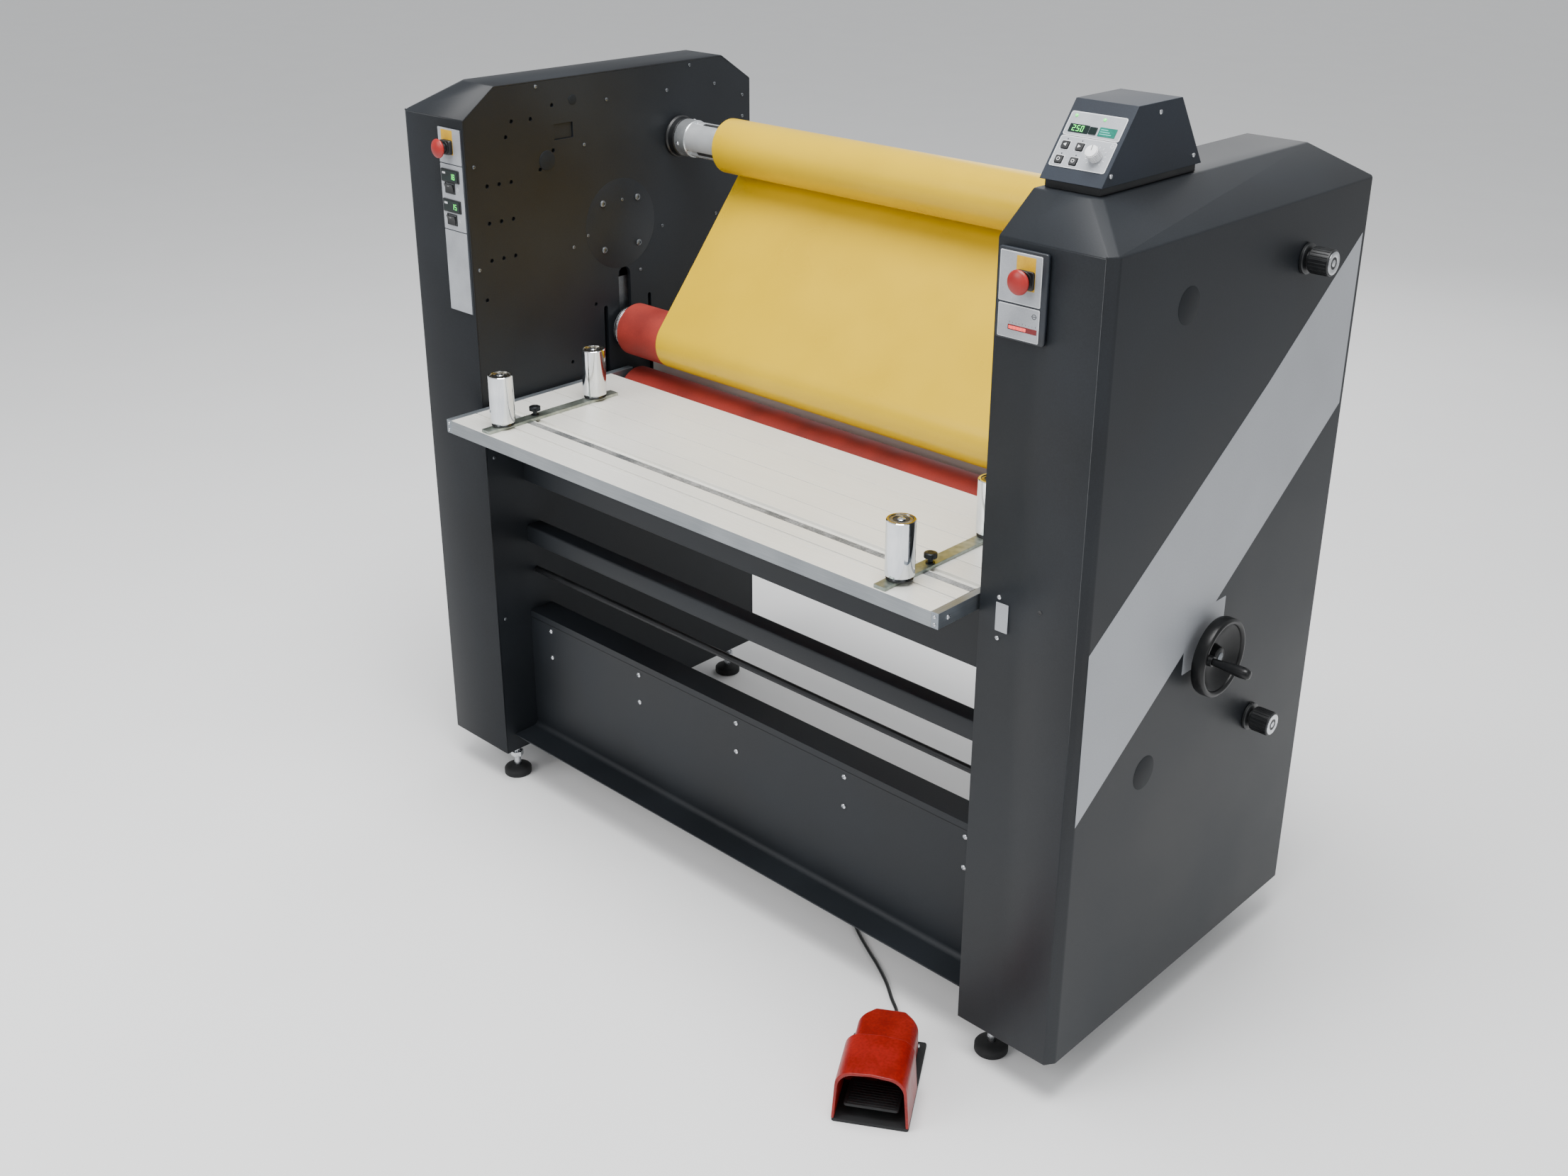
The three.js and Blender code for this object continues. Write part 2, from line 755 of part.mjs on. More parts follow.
// ---- hand controls on the right side ----
function addHandControls() {
  const { radius, hub, back, rim, dish } = wheel;
  const profile = [
    [0, half + gap],
    [hub, half + gap],
    [hub, back],
    [radius - 14, back + 12],
    [radius - 9, back + 6],
    [radius - 2, back + 8],
    [radius, back + 14],
    [radius, rim - 8],
    [radius - 4, rim],
    [radius - 11, rim],
    [radius - 15, rim - 12],
    [hub + 2, back + 8],
    [hub - 2, back + dish],
    [0, back + dish],
  ];
  const angle = THREE.MathUtils.degToRad(wheelHandle.angle);
  const handleY = wheel.y + wheelHandle.out * Math.cos(angle);
  const handleZ = wheel.z + wheelHandle.out * Math.sin(angle);
  const boss = rodAlong("x", wheelHandle.radius - 1, back + 14, wheelHandle.base, 20);
  const made = solid(turned(profile, "x", 36).translate(0, wheel.y, wheel.z));
  add("handwheel", made.add(solid(boss.translate(0, handleY, handleZ))), black);
  const { base, end } = wheelHandle;
  const grip = [
    [0, base + gap],
    [6, base + gap],
    [wheelHandle.radius - 3, base + 12],
    [wheelHandle.radius, end - 22],
    [wheelHandle.radius - 1, end - 6],
    [wheelHandle.radius - 5, end],
    [0, end],
  ];
  add("wheel_handle", turned(grip, "x", 20).translate(0, handleY, handleZ), black);
  for (const { name, y, z } of brakes) {
    const turnedKnob = [
      [0, half + gap],
      [brake.flange, half + gap],
      [brake.flange, brake.flangeEnd],
      [brake.neck, brake.flangeEnd],
      [brake.neck, brake.body],
      [brake.radius, brake.body],
      [brake.radius, brake.end - 1],
      [brake.radius - 1, brake.end],
      [0, brake.end],
    ];
    add(name, turned(turnedKnob, "x", 24).translate(0, y, z), black);
  }
}

// ---- foot switch and its cable ----
function addFootSwitch() {
  const group = new THREE.Group();
  group.position.set(pedal.x, pedal.y, 0);
  group.rotation.z = THREE.MathUtils.degToRad(pedal.turn);
  machine.add(group);
  const wide = pedal.width / 2;
  add("foot_switch_base", boxOf(-wide, wide, 0, pedal.length, 0, pedal.base), black, group);
  const low = pedal.base + gap;
  const hoodOutline = (inset) => {
    const foot = [wide - inset, inset ? low - 1 : low];
    const arch = archSteps.map((step, i) => [
      wide - step.in - inset,
      pedal.height * step.share - (i ? inset : 0),
    ]);
    const rightSide = [foot, ...arch];
    return [...rightSide, ...rightSide.map(([x, z]) => [-x, z]).reverse()];
  };
  const rear = pedal.rearWidth / 2;
  const bevel = pedal.rearBevel;
  const rearOutline = [
    [rear, low],
    [rear, pedal.rearTop - bevel.z],
    [rear - bevel.x, pedal.rearTop],
    [bevel.x - rear, pedal.rearTop],
    [-rear, pedal.rearTop - bevel.z],
    [-rear, low],
  ];
  const hood = solid(alongY(hoodOutline(0), 0, pedal.hood))
    .subtract(solid(alongY(hoodOutline(pedal.wall), -1, pedal.hood - pedal.wall)))
    .add(solid(alongY(rearOutline, pedal.hood - 1, pedal.length)));
  const gland = rodAlong("y", cable.radius + 4, pedal.length - 1, pedal.length + cable.glandLength, 16);
  add("foot_switch_hood", hood.add(solid(gland.translate(0, 0, cable.glandHeight))), redPaint, group);

  const step = new THREE.Group();
  step.position.set(0, treadle.hinge, treadle.z);
  step.rotation.x = -THREE.MathUtils.degToRad(treadle.lift);
  group.add(step);
  const { width, length, thick } = treadle;
  add("foot_treadle", boxOf(-width / 2, width / 2, -length, 0, -thick / 2, thick / 2), black, step);

  group.updateMatrixWorld(true);
  const behind = (distance, height) => {
    return group.localToWorld(new THREE.Vector3(0, pedal.length + distance, height));
  };
  const lie = cable.radius + 0.2;
  const endGap = 1; // a tilted end face needs more room than a square one
  // Along the floor, [x from the right side plate, y], then up to the gland with [x, y, z].
  const laid = [
    [-180, -362],
    [-220, -332],
    [-270, -302],
    [-303, -285],
    [-365, -250],
    [-402, -222],
    [-428, -178],
    [-418, -128],
    [-370, -92],
    [-300, -72],
    [-220, -60],
    [-150, -56],
  ];
  // Two quarter bends, each given by its ends and two points between them.
  const rising = [
    [-97, -58, lie],
    [-81, -59, 8],
    [-69.3, -60, 19.7],
    [-65, -60, 35.7],
    [-65, -60, 76],
    [-65, -60, 118],
    [-60.7, -60, 134],
    [-49, -60, 145.7],
    [-33, -60, 150],
  ];
  const plugIn = inner - cable.glandLength - endGap;
  const route = [
    behind(cable.glandLength + endGap, cable.glandHeight),
    behind(30, 19),
    behind(55, 8),
    behind(75, lie),
    ...laid.map(([x, y]) => new THREE.Vector3(inner + x, y, lie)),
    ...rising.map(([x, y, z]) => new THREE.Vector3(inner + x, y, z)),
    new THREE.Vector3(plugIn, cable.plateY, cable.plateZ),
  ];
  const section = new THREE.Shape();
  for (let i = 0; i < cable.sides; i++) {
    const angle = (2 * Math.PI * i) / cable.sides;
    const x = cable.radius * Math.cos(angle);
    const y = cable.radius * Math.sin(angle);
    if (i) section.lineTo(x, y);
    else section.moveTo(x, y);
  }
  section.closePath();
  const path = new THREE.CatmullRomCurve3(route);
  const options = { steps: cable.steps, extrudePath: path, bevelEnabled: false };
  const lead = new THREE.ExtrudeGeometry(section, options);
  add("foot_switch_cable", lead, black);
}

addCabinet("left", -1);
addCabinet("right", 1);
addRoller("upper", upperZ, block.far - gap - 1);
addRoller("lower", lowerZ, motor.shaftEnd);
addSupply();
addWeb();
addMotor();
addTables();
addGuide("left", -1);
addGuide("right", 1);
addCrossMembers();
addControlBox();
addFrontPanels();
addHandControls();
addFootSwitch();

// The handwheel's handle is the furthest piece to the right: centre the whole box on the origin.
machine.position.x = (half - wheelHandle.end) / 2;

export default machine;
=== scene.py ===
import json
import math

import bmesh
import bpy
from mathutils import Matrix, Vector


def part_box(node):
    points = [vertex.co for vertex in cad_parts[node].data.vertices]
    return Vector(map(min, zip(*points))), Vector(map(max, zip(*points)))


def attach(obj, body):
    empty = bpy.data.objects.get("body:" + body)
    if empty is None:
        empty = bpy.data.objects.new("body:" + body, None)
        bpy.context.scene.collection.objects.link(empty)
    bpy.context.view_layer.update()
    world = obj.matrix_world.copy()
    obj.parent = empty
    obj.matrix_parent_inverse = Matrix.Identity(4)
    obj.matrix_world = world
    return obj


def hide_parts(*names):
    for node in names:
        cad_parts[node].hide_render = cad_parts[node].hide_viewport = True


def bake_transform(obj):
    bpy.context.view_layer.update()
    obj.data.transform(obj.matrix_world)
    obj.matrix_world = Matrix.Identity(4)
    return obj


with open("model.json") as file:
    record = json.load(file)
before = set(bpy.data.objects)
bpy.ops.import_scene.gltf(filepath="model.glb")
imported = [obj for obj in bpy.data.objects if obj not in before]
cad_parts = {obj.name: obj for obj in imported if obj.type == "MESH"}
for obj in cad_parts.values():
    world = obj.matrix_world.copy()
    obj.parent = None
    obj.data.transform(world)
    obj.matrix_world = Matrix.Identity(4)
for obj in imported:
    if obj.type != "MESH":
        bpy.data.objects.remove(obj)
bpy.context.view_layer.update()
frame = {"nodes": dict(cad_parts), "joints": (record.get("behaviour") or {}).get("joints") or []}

mm = 0.001
scene = bpy.context.scene
joints = {j["name"]: j for j in frame["joints"]}
middleX = (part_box("left_cover")[0].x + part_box("right_cover")[1].x) / 2
sides = {"left": -1, "right": 1}


def spot(x, y, z):  # millimetres from the machine's middle plane and the floor
    return Vector((middleX + x * mm, y * mm, z * mm))


def placed(origin, across, up, out):  # a face's own frame: across and up along it, out of it
    place = Matrix((across, up, out)).transposed().to_4x4()
    place.translation = origin
    return place


def middle(node):  # the middle of a node's box, in metres
    return tuple((a + b) / 2 for a, b in zip(*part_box(node)))


def sideSpot(node):  # a node's middle on a side wall: along Y and up, in millimetres
    return tuple(v / mm for v in middle(node)[1:])


def frontSpot(node):  # a node's middle on the front: from the middle plane and up, in millimetres
    x, _, z = middle(node)
    return (x - middleX) / mm, z / mm


def frontExtent(node):  # left, right, bottom and top of a node, in millimetres
    low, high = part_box(node)
    return (low.x - middleX) / mm, (high.x - middleX) / mm, low.z / mm, high.z / mm


def halfWidth(node):
    low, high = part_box(node)
    return (high.x - low.x) / 2 / mm


def standing(x, y, z=0):  # a level place with its height up
    return placed(Vector((x, y, z)), (1, 0, 0), (0, 1, 0), (0, 0, 1))


def facingFront(x, y):  # an upright place that looks at the operator
    return placed(Vector((x, y, 0)), (1, 0, 0), (0, 0, 1), (0, -1, 0))


def linked(name, data):
    thing = bpy.data.objects.new(name, data)
    scene.collection.objects.link(thing)
    return thing


# ---- camera ----
cameraLook = {"place": (2.04515, -2.36823, 2.09685), "azimuth": 42.751, "down": 23.351, "roll": 0.52,
              "lens": 38.905, "shift": (-0.0171, -0.0416)}


def addCamera():
    azimuth, down, roll = (math.radians(cameraLook[k]) for k in ("azimuth", "down", "roll"))
    ahead = Vector((-math.sin(azimuth) * math.cos(down), math.cos(azimuth) * math.cos(down), -math.sin(down)))
    right = Vector((math.cos(azimuth), math.sin(azimuth), 0))
    up = right.cross(ahead)
    camera = linked("camera", bpy.data.cameras.new("camera"))
    camera.matrix_world = placed(
        Vector(cameraLook["place"]),
        right * math.cos(roll) + up * math.sin(roll),
        up * math.cos(roll) - right * math.sin(roll),
        -ahead,
    )
    camera.data.lens = cameraLook["lens"]
    camera.data.shift_x, camera.data.shift_y = cameraLook["shift"]
    scene.camera = camera


addCamera()
print("camera set")


# ---- materials ----
def linear(hexText):
    parts = [int(hexText[i:i + 2], 16) / 255 for i in (1, 3, 5)]
    return tuple(c / 12.92 if c <= 0.04045 else ((c + 0.055) / 1.055) ** 2.4 for c in parts) + (1.0,)


def addNode(tree, kind, settings=None, links=None):
    node = tree.nodes.new("ShaderNode" + kind)
    for name, value in (settings or {}).items():
        if isinstance(name, int) or name in node.inputs:
            node.inputs[name].default_value = value
        else:
            setattr(node, name, value)
    for name, source in (links or {}).items():
        tree.links.new(source, node.inputs[name])
    return node


def startMaterial(name, **shaderValues):
    material = bpy.data.materials.new(name)
    material.use_nodes = True
    tree = material.node_tree
    tree.nodes.clear()
    shader = addNode(tree, "BsdfPrincipled", shaderValues)
    addNode(tree, "OutputMaterial", links={"Surface": shader.outputs["BSDF"]})
    coords = addNode(tree, "TexCoord").outputs["Object"]
    return material, tree, shader, coords


# Colour, uneven gloss and a bump whose depth is in millimetres.
def addSurface(tree, shader, colour, patches, rough, height, strength, depth):
    gloss = addNode(tree, "MapRange", {"From Min": 0.3, "From Max": 0.7, "To Min": rough[0], "To Max": rough[1]},
                    {"Value": patches.outputs["Fac"]})
    bump = addNode(tree, "Bump", {"Strength": strength, "Distance": depth * mm}, {"Height": height})
    tree.links.new(colour, shader.inputs["Base Color"])
    tree.links.new(gloss.outputs["Result"], shader.inputs["Roughness"])
    tree.links.new(bump.outputs["Normal"], shader.inputs["Normal"])


finishes = {}


# One coat of a textured finish. grain and patch are sizes in millimetres, depth is the bump's height in
# millimetres, rough is the lowest and highest roughness, and stretch draws the grain out along an axis.
def addFinish(name, slot, dark, light, grain, patch, depth, rough, stretch=(1, 1, 1), pattern="noise", **values):
    material, tree, shader, coords = startMaterial(name, **values)
    aligned = addNode(tree, "Mapping", {"Scale": stretch}, {"Vector": coords}).outputs["Vector"]
    fine = addNode(tree, "TexNoise", {"Scale": 1 / (grain * mm), "Detail": 3.0}, {"Vector": aligned})
    height = fine.outputs["Fac"]
    if pattern == "cells":
        cells = addNode(tree, "TexVoronoi", {"feature": "SMOOTH_F1", "Scale": 1 / (grain * mm)}, {"Vector": aligned})
        height = cells.outputs["Distance"]
    broad = addNode(tree, "TexNoise", {"Scale": 1 / (patch * mm), "Detail": 2.0}, {"Vector": coords})
    shade = addNode(tree, "Math", {"operation": "MULTIPLY_ADD", 1: 0.5}, {0: height})
    tree.links.new(broad.outputs["Fac"], shade.inputs[2])
    tone = addNode(tree, "MapRange", {"From Min": 0.55, "From Max": 1.0}, {"Value": shade.outputs["Value"]})
    mix = addNode(tree, "Mix", {"data_type": "RGBA", 6: linear(dark), 7: linear(light)},
                  {0: tone.outputs["Result"]})
    addSurface(tree, shader, mix.outputs[2], broad, rough, height, 0.6, depth)
    finishes[name] = (material, slot)


# Epoxy polyester powder coat: a fine orange-peel texture, real grain 0.5 mm, drawn at 2.4 mm to show.
addFinish("powderCoat", "powder_coat", "#101317", "#1c2025", 2.4, 320, 0.12, (0.46, 0.54),
          **{"Specular IOR Level": 0.3})
# The same coat on the control box, where it looks a shade bluer.
addFinish("housingCoat", "powder_coat", "#10161f", "#19212c", 2.4, 200, 0.09, (0.46, 0.54),
          **{"Specular IOR Level": 0.3})
# Screen-printed polyester foil: satin grey, faint mottle.
addFinish("panelFoil", "panel_grey", "#8d9095", "#a2a5aa", 1.6, 60, 0.02, (0.34, 0.42))
addFinish("foilBorder", "panel_grey", "#c2c4c7", "#cfd1d3", 1.6, 60, 0.01, (0.38, 0.44))
# Matt vinyl film on the side: light grey, crisp edges.
addFinish("stripeVinyl", "panel_grey", "#8f9297", "#9c9fa4", 2.5, 260, 0.02, (0.42, 0.52))
# Blued or painted steel: near black with a soft shine.
addFinish("blackSteel", "black_metal", "#0d0e10", "#1a1c1f", 3.0, 60, 0.04, (0.38, 0.55), Metallic=0.4)
# ABS moulding, spark-eroded texture.
addFinish("blackPlastic", "black_plastic", "#0c0d0f", "#17191b", 1.2, 30, 0.03, (0.36, 0.50))
addFinish("plugPlastic", "black_plastic", "#0f1216", "#171b1f", 1.4, 60, 0.02, (0.55, 0.65),
          **{"Specular IOR Level": 0.2})
addFinish("bezelPlastic", "panel_grey", "#10151c", "#1b222b", 1.4, 50, 0.03, (0.40, 0.50))
# Polished phenolic resin: black, glossy.
addFinish("phenolic", "black_plastic", "#08090a", "#121314", 6.0, 40, 0.01, (0.30, 0.38),
          **{"Specular IOR Level": 0.3})
# Rubber: matt, slightly dusty.
addFinish("padRubber", "foot_rubber", "#0f1011", "#1d1e20", 2.0, 30, 0.06, (0.70, 0.88))
# PVC jacket: soft shine, extruded.
addFinish("pvcJacket", "cable_jacket", "#090a0b", "#131415", 2.0, 40, 0.02, (0.42, 0.55))
# Silicone rubber, ground: matt brick red with a speckle; real grit 0.3 mm, drawn at 2 mm.
addFinish("siliconeRubber", "silicone_rubber", "#741a12", "#962a1f", 2.0, 90, 0.06, (0.62, 0.78))
# Steel, turned on a lathe: bright with fine rings across the axis.
addFinish("turnedSteel", "roller_core", "#aeb2b5", "#cfd2d4", 1.6, 50, 0.03, (0.24, 0.34), (6, 0.4, 0.4),
          Metallic=0.75)
addFinish("brightScrew", "steel", "#b9bcc0", "#dadcdf", 1.0, 12, 0.01, (0.18, 0.30), Metallic=1.0)
addFinish("dullSteel", "steel", "#5d6165", "#83878b", 2.0, 40, 0.04, (0.34, 0.48), Metallic=1.0)
addFinish("darkSteel", "roller_core", "#2b2e31", "#45494d", 1.6, 30, 0.03, (0.28, 0.42), (6, 0.4, 0.4),
          Metallic=0.9)
# Aluminium extrusion, natural anodised, with die lines along it, in two copies: pale and warm with painted light for
# the tops, darker and more metallic with painted shade for the upright front and rear faces.
addFinish("anodisedLitTop", "aluminium", "#d6d5ce", "#e6e5df", 1.8, 500, 0.01, (0.38, 0.44), (0.03, 1, 1),
          Metallic=0.25)
addFinish("anodisedShadedLip", "aluminium", "#7e8387", "#95999c", 1.8, 120, 0.02, (0.36, 0.46), (0.03, 1, 1),
          Metallic=0.7)
addFinish("railAluminium", "aluminium", "#7c838a", "#969ca2", 1.8, 90, 0.02, (0.32, 0.44), (1, 0.03, 1),
          Metallic=0.8)
# Grit-blasted strip in the table: rough and pitted, real pits 0.6 mm, drawn at 3 mm.
addFinish("pittedStrip", "aluminium", "#56595b", "#9c9d9c", 3.0, 40, 0.30, (0.55, 0.75), pattern="cells",
          Metallic=0.4)
# Zinc plate: grey-green, with a faint crystal spangle.
addFinish("zincPlate", "zinc_plate", "#818a82", "#aeb5ad", 9.0, 60, 0.01, (0.30, 0.44), pattern="cells",
          Metallic=0.9)
# Hard chrome: mirror bright, a trace of polishing lines.
addFinish("hardChrome", "chrome", "#d3d7dc", "#eceef0", 2.0, 60, 0.004, (0.05, 0.12), (1, 1, 0.1), Metallic=1.0)
addFinish("shaftChrome", "roller_core", "#cdd1d4", "#eceef0", 2.0, 60, 0.006, (0.16, 0.24), (6, 0.4, 0.4),
          Metallic=0.6)
addFinish("brass", "chrome", "#857f6e", "#a0998a", 1.2, 20, 0.01, (0.20, 0.32), Metallic=1.0)
# Hammered enamel: red, glossy, with shallow dimples about 4 mm across.
addFinish("hammerEnamel", "red_paint", "#740a06", "#921409", 4.5, 60, 0.45, (0.34, 0.46), pattern="cells",
          **{"Specular IOR Level": 0.3, "Coat Weight": 0.1, "Coat Roughness": 0.25})
# Nylon head, moulded: satin red.
addFinish("redNylon", "red_plastic", "#850d0a", "#9c1712", 1.4, 25, 0.03, (0.34, 0.46))
addFinish("whiteNylon", "white_plastic", "#cfd0d2", "#e2e3e4", 1.4, 20, 0.02, (0.30, 0.42))
# Polyester label, yellow.
addFinish("yellowTag", "panel_grey", "#c09200", "#d2a600", 2.0, 20, 0.01, (0.40, 0.50))
# Wound paper tube.
addFinish("coreBoard", "film", "#7d6244", "#a38460", 1.6, 30, 0.06, (0.75, 0.90))
# Smoked acrylic windows.
addFinish("smokedWindow", "panel_grey", "#081614", "#10211f", 4.0, 20, 0.002, (0.08, 0.14))
addFinish("tealGlass", "panel_grey", "#0d5a4c", "#177263", 4.0, 20, 0.002, (0.10, 0.18))
addFinish("redWindow", "panel_grey", "#5a0f12", "#7c181b", 4.0, 20, 0.002, (0.14, 0.22))


# Glowing elements: a coloured face that also gives light, a little uneven.
def addGlow(name, colour, strength):
    material, tree, shader, coords = startMaterial(name, Roughness=0.3)
    mottle = addNode(tree, "TexNoise", {"Scale": 1 / (3 * mm)}, {"Vector": coords})
    mix = addNode(tree, "Mix", {"data_type": "RGBA", 6: linear(colour), 7: linear("#ffffff")})
    share = addNode(tree, "MapRange", {"To Max": 0.12}, {"Value": mottle.outputs["Fac"]})
    tree.links.new(share.outputs["Result"], mix.inputs[0])
    tree.links.new(mix.outputs[2], shader.inputs["Base Color"])
    tree.links.new(mix.outputs[2], shader.inputs["Emission Color"])
    shader.inputs["Emission Strength"].default_value = strength
    finishes[name] = (material, "panel_grey")


addGlow("greenLight", "#2bdc4a", 1.6)
addGlow("redLight", "#ff3a2e", 1.2)
addGlow("tealLight", "#3fa79c", 0.2)


# Polyester film, cast and wound: deep amber yellow, glossy, with fine cross lines from the coating rollers.
def addFilm(name, layered):
    material, tree, shader, coords = startMaterial(
        name, **{"Specular IOR Level": 0.3, "Coat Weight": 0.08, "Coat Roughness": 0.15})
    across = addNode(tree, "Mapping", {"Scale": (0.12, 1, 1)}, {"Vector": coords}).outputs["Vector"]
    lines = addNode(tree, "TexNoise", {"Scale": 1 / (3.5 * mm), "Detail": 4.0}, {"Vector": across})
    clouds = addNode(tree, "TexNoise", {"Scale": 1 / (160 * mm), "Detail": 2.0}, {"Vector": coords})
    mix = addNode(tree, "Mix", {"data_type": "RGBA", 6: linear("#bf9c00"), 7: linear("#d4ae00")},
                  {0: clouds.outputs["Fac"]})
    colour, height = mix.outputs[2], lines.outputs["Fac"]
    if layered:  # wound edges show as rings about the shaft on the roll's ends
        centre = Vector((0, *middle("film_roll")[1:]))
        about = addNode(tree, "Mapping", {"Location": -centre}, {"Vector": coords}).outputs["Vector"]
        rings = addNode(tree, "TexWave", {"wave_type": "RINGS", "rings_direction": "X", "Scale": 40.0,
                                          "Distortion": 0.4}, {"Vector": about})
        facing = addNode(tree, "SeparateXYZ", links={"Vector": addNode(tree, "NewGeometry").outputs["Normal"]})
        onEnd = addNode(tree, "Math", {"operation": "ABSOLUTE"}, {0: facing.outputs["X"]})
        dark = addNode(tree, "Mix", {"data_type": "RGBA", "blend_type": "MULTIPLY", 7: linear("#9c7c3a")},
                       {0: addNode(tree, "Math", {"operation": "MULTIPLY", "use_clamp": True},
                                   {0: rings.outputs["Fac"], 1: onEnd.outputs["Value"]}).outputs["Value"],
                        6: colour})
        colour = dark.outputs[2]
    addSurface(tree, shader, colour, clouds, (0.26, 0.36), height, 0.5, 0.05)
    finishes[name] = (material, "film")


addFilm("filmWeb", False)
addFilm("filmRoll", True)
print("materials made:", len(finishes))


# ---- mesh tools ----
def prism(bm, place, outline, depth):  # an outline on a face's frame, pushed from one depth to another
    ring = [bm.verts.new(place @ Vector((a * mm, b * mm, depth[0] * mm))) for a, b in outline]
    pushed = bmesh.ops.extrude_face_region(bm, geom=[bm.faces.new(ring)])
    raised = [v for v in pushed["geom"] if isinstance(v, bmesh.types.BMVert)]
    bmesh.ops.translate(bm, verts=raised, vec=place.to_3x3() @ Vector((0, 0, (depth[1] - depth[0]) * mm)))


def roundedOutline(across, up, corner, steps=4):
    if not corner:
        return [(across[1], up[1]), (across[0], up[1]), (across[0], up[0]), (across[1], up[0])]
    centres = [(across[1] - corner, up[1] - corner), (across[0] + corner, up[1] - corner),
               (across[0] + corner, up[0] + corner), (across[1] - corner, up[0] + corner)]
    points = []
    for quarter, (a, b) in enumerate(centres):
        for i in range(steps + 1):
            angle = math.pi / 2 * (quarter + i / steps)
            points.append((a + corner * math.cos(angle), b + corner * math.sin(angle)))
    return points


def slab(bm, place, across, up, depth, corner=0.0):
    prism(bm, place, roundedOutline(across, up, corner), depth)


def turn(bm, place, spotXY, profile, steps=48, closed=False):  # profile: radius and height out of the face
    centre = place @ Vector((spotXY[0] * mm, spotXY[1] * mm, 0))
    axis = (place.to_3x3() @ Vector((0, 0, 1))).normalized()
    side = (place.to_3x3() @ Vector((1, 0, 0))).normalized()
    verts = [bm.verts.new(centre + side * r * mm + axis * h * mm) for r, h in profile]
    edges = [bm.edges.new(pair) for pair in zip(verts, verts[1:])]
    if closed:
        edges.append(bm.edges.new((verts[-1], verts[0])))
    bmesh.ops.spin(bm, geom=verts + edges, cent=centre, axis=axis, dvec=(0, 0, 0), angle=2 * math.pi,
                   steps=steps, use_merge=True)


def fluted(radius, depth, flutes, centre=(0, 0)):  # a round outline with shallow grooves
    points = []
    for i in range(4 * flutes):
        angle = 2 * math.pi * i / (4 * flutes)
        reach = radius + depth * math.cos(flutes * angle)
        points.append((reach * math.cos(angle) + centre[0], reach * math.sin(angle) + centre[1]))
    return points


def buttonHeads(bm, place, spots, radius, height):  # round heads with a driver recess
    profile = [(0, 0), (radius, 0), (radius * 0.94, height * 0.5), (radius * 0.65, height * 0.92),
               (radius * 0.42, height), (radius * 0.38, height * 0.45), (0, height * 0.4)]
    for a, b in spots:
        turn(bm, place, (a, b), profile, 16)


def blockIn(bm, low, high):
    size = high - low
    matrix = Matrix.Translation((low + high) / 2) @ Matrix.Diagonal((size.x, size.y, size.z, 1))
    bmesh.ops.create_cube(bm, size=1, matrix=matrix)


def makePiece(name, bm, finish, body, replaced=(), edge=0.0, wall=0.0, others=(), smooth=35, segments=3):
    bmesh.ops.remove_doubles(bm, verts=bm.verts[:], dist=0.01 * mm)
    bmesh.ops.recalc_face_normals(bm, faces=bm.faces[:])
    mesh = bpy.data.meshes.new(name)
    bm.to_mesh(mesh)
    bm.free()
    mesh.polygons.foreach_set("use_smooth", [True] * len(mesh.polygons))
    mesh.set_sharp_from_angle(angle=math.radians(smooth))
    piece = linked(name, mesh)
    material, slotName = finishes[finish]
    for each in (material, *(finishes[other][0] for other in others)):
        mesh.materials.append(each)
    if wall:
        shell = piece.modifiers.new("wall", "SOLIDIFY")
        shell.thickness = wall * mm
        shell.offset = -1
    if edge:
        rounding = piece.modifiers.new("edges", "BEVEL")
        rounding.width = edge * mm
        rounding.segments = segments
        rounding.limit_method = "ANGLE"
        rounding.angle_limit = math.radians(40)
        rounding.harden_normals = True
    if body:
        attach(piece, body)
    if replaced:
        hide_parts(*replaced)
    return piece


def shape(name, finish, body, *steps, **settings):  # a piece put together from turned, pushed or boxed solids
    bm = bmesh.new()
    for tool, *values in steps:
        tool(bm, *values)
    return makePiece(name, bm, finish, body, **settings)


def trim(bm, point, normal):  # takes off everything past a plane and closes the cut
    cut = bmesh.ops.bisect_plane(bm, geom=bm.verts[:] + bm.edges[:] + bm.faces[:], dist=1e-6,
                                 plane_co=point, plane_no=normal.normalized(), clear_outer=True)
    edges = [e for e in cut["geom_cut"] if isinstance(e, bmesh.types.BMEdge)]
    bmesh.ops.holes_fill(bm, edges=edges, sides=0)


def paintWhere(bm, index, test):  # a second material on the faces that pass a test
    bm.normal_update()
    for face in bm.faces:
        if test(face):
            face.material_index = index


def dressNode(node, finish):  # a node shown in its own shape
    piece = frame["nodes"][node]
    material, slotName = finishes[finish]
    piece.data.materials.clear()
    piece.data.materials.append(material)


# ---- foot switch cable ----
pedalLook = {"length": 225, "inside": 130, "glandHeight": 22}
cableLook = {"diameter": 7, "plateGland": 14}
baseLow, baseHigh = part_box("foot_switch_base")
pedalAcross = Vector(joints["treadle_press"]["axis"])
pedalAcross = pedalAcross if pedalAcross.x > 0 else -pedalAcross
pedalBack = Vector((-pedalAcross.y, pedalAcross.x, 0))
pedalFloor = Vector(((baseLow.x + baseHigh.x) / 2, (baseLow.y + baseHigh.y) / 2, 0))
pedalPlace = placed(pedalFloor - pedalBack * pedalLook["length"] / 2 * mm, pedalAcross, pedalBack, Vector((0, 0, 1)))


def pedalSpot(across, back, height):
    return pedalPlace @ Vector((across * mm, back * mm, height * mm))


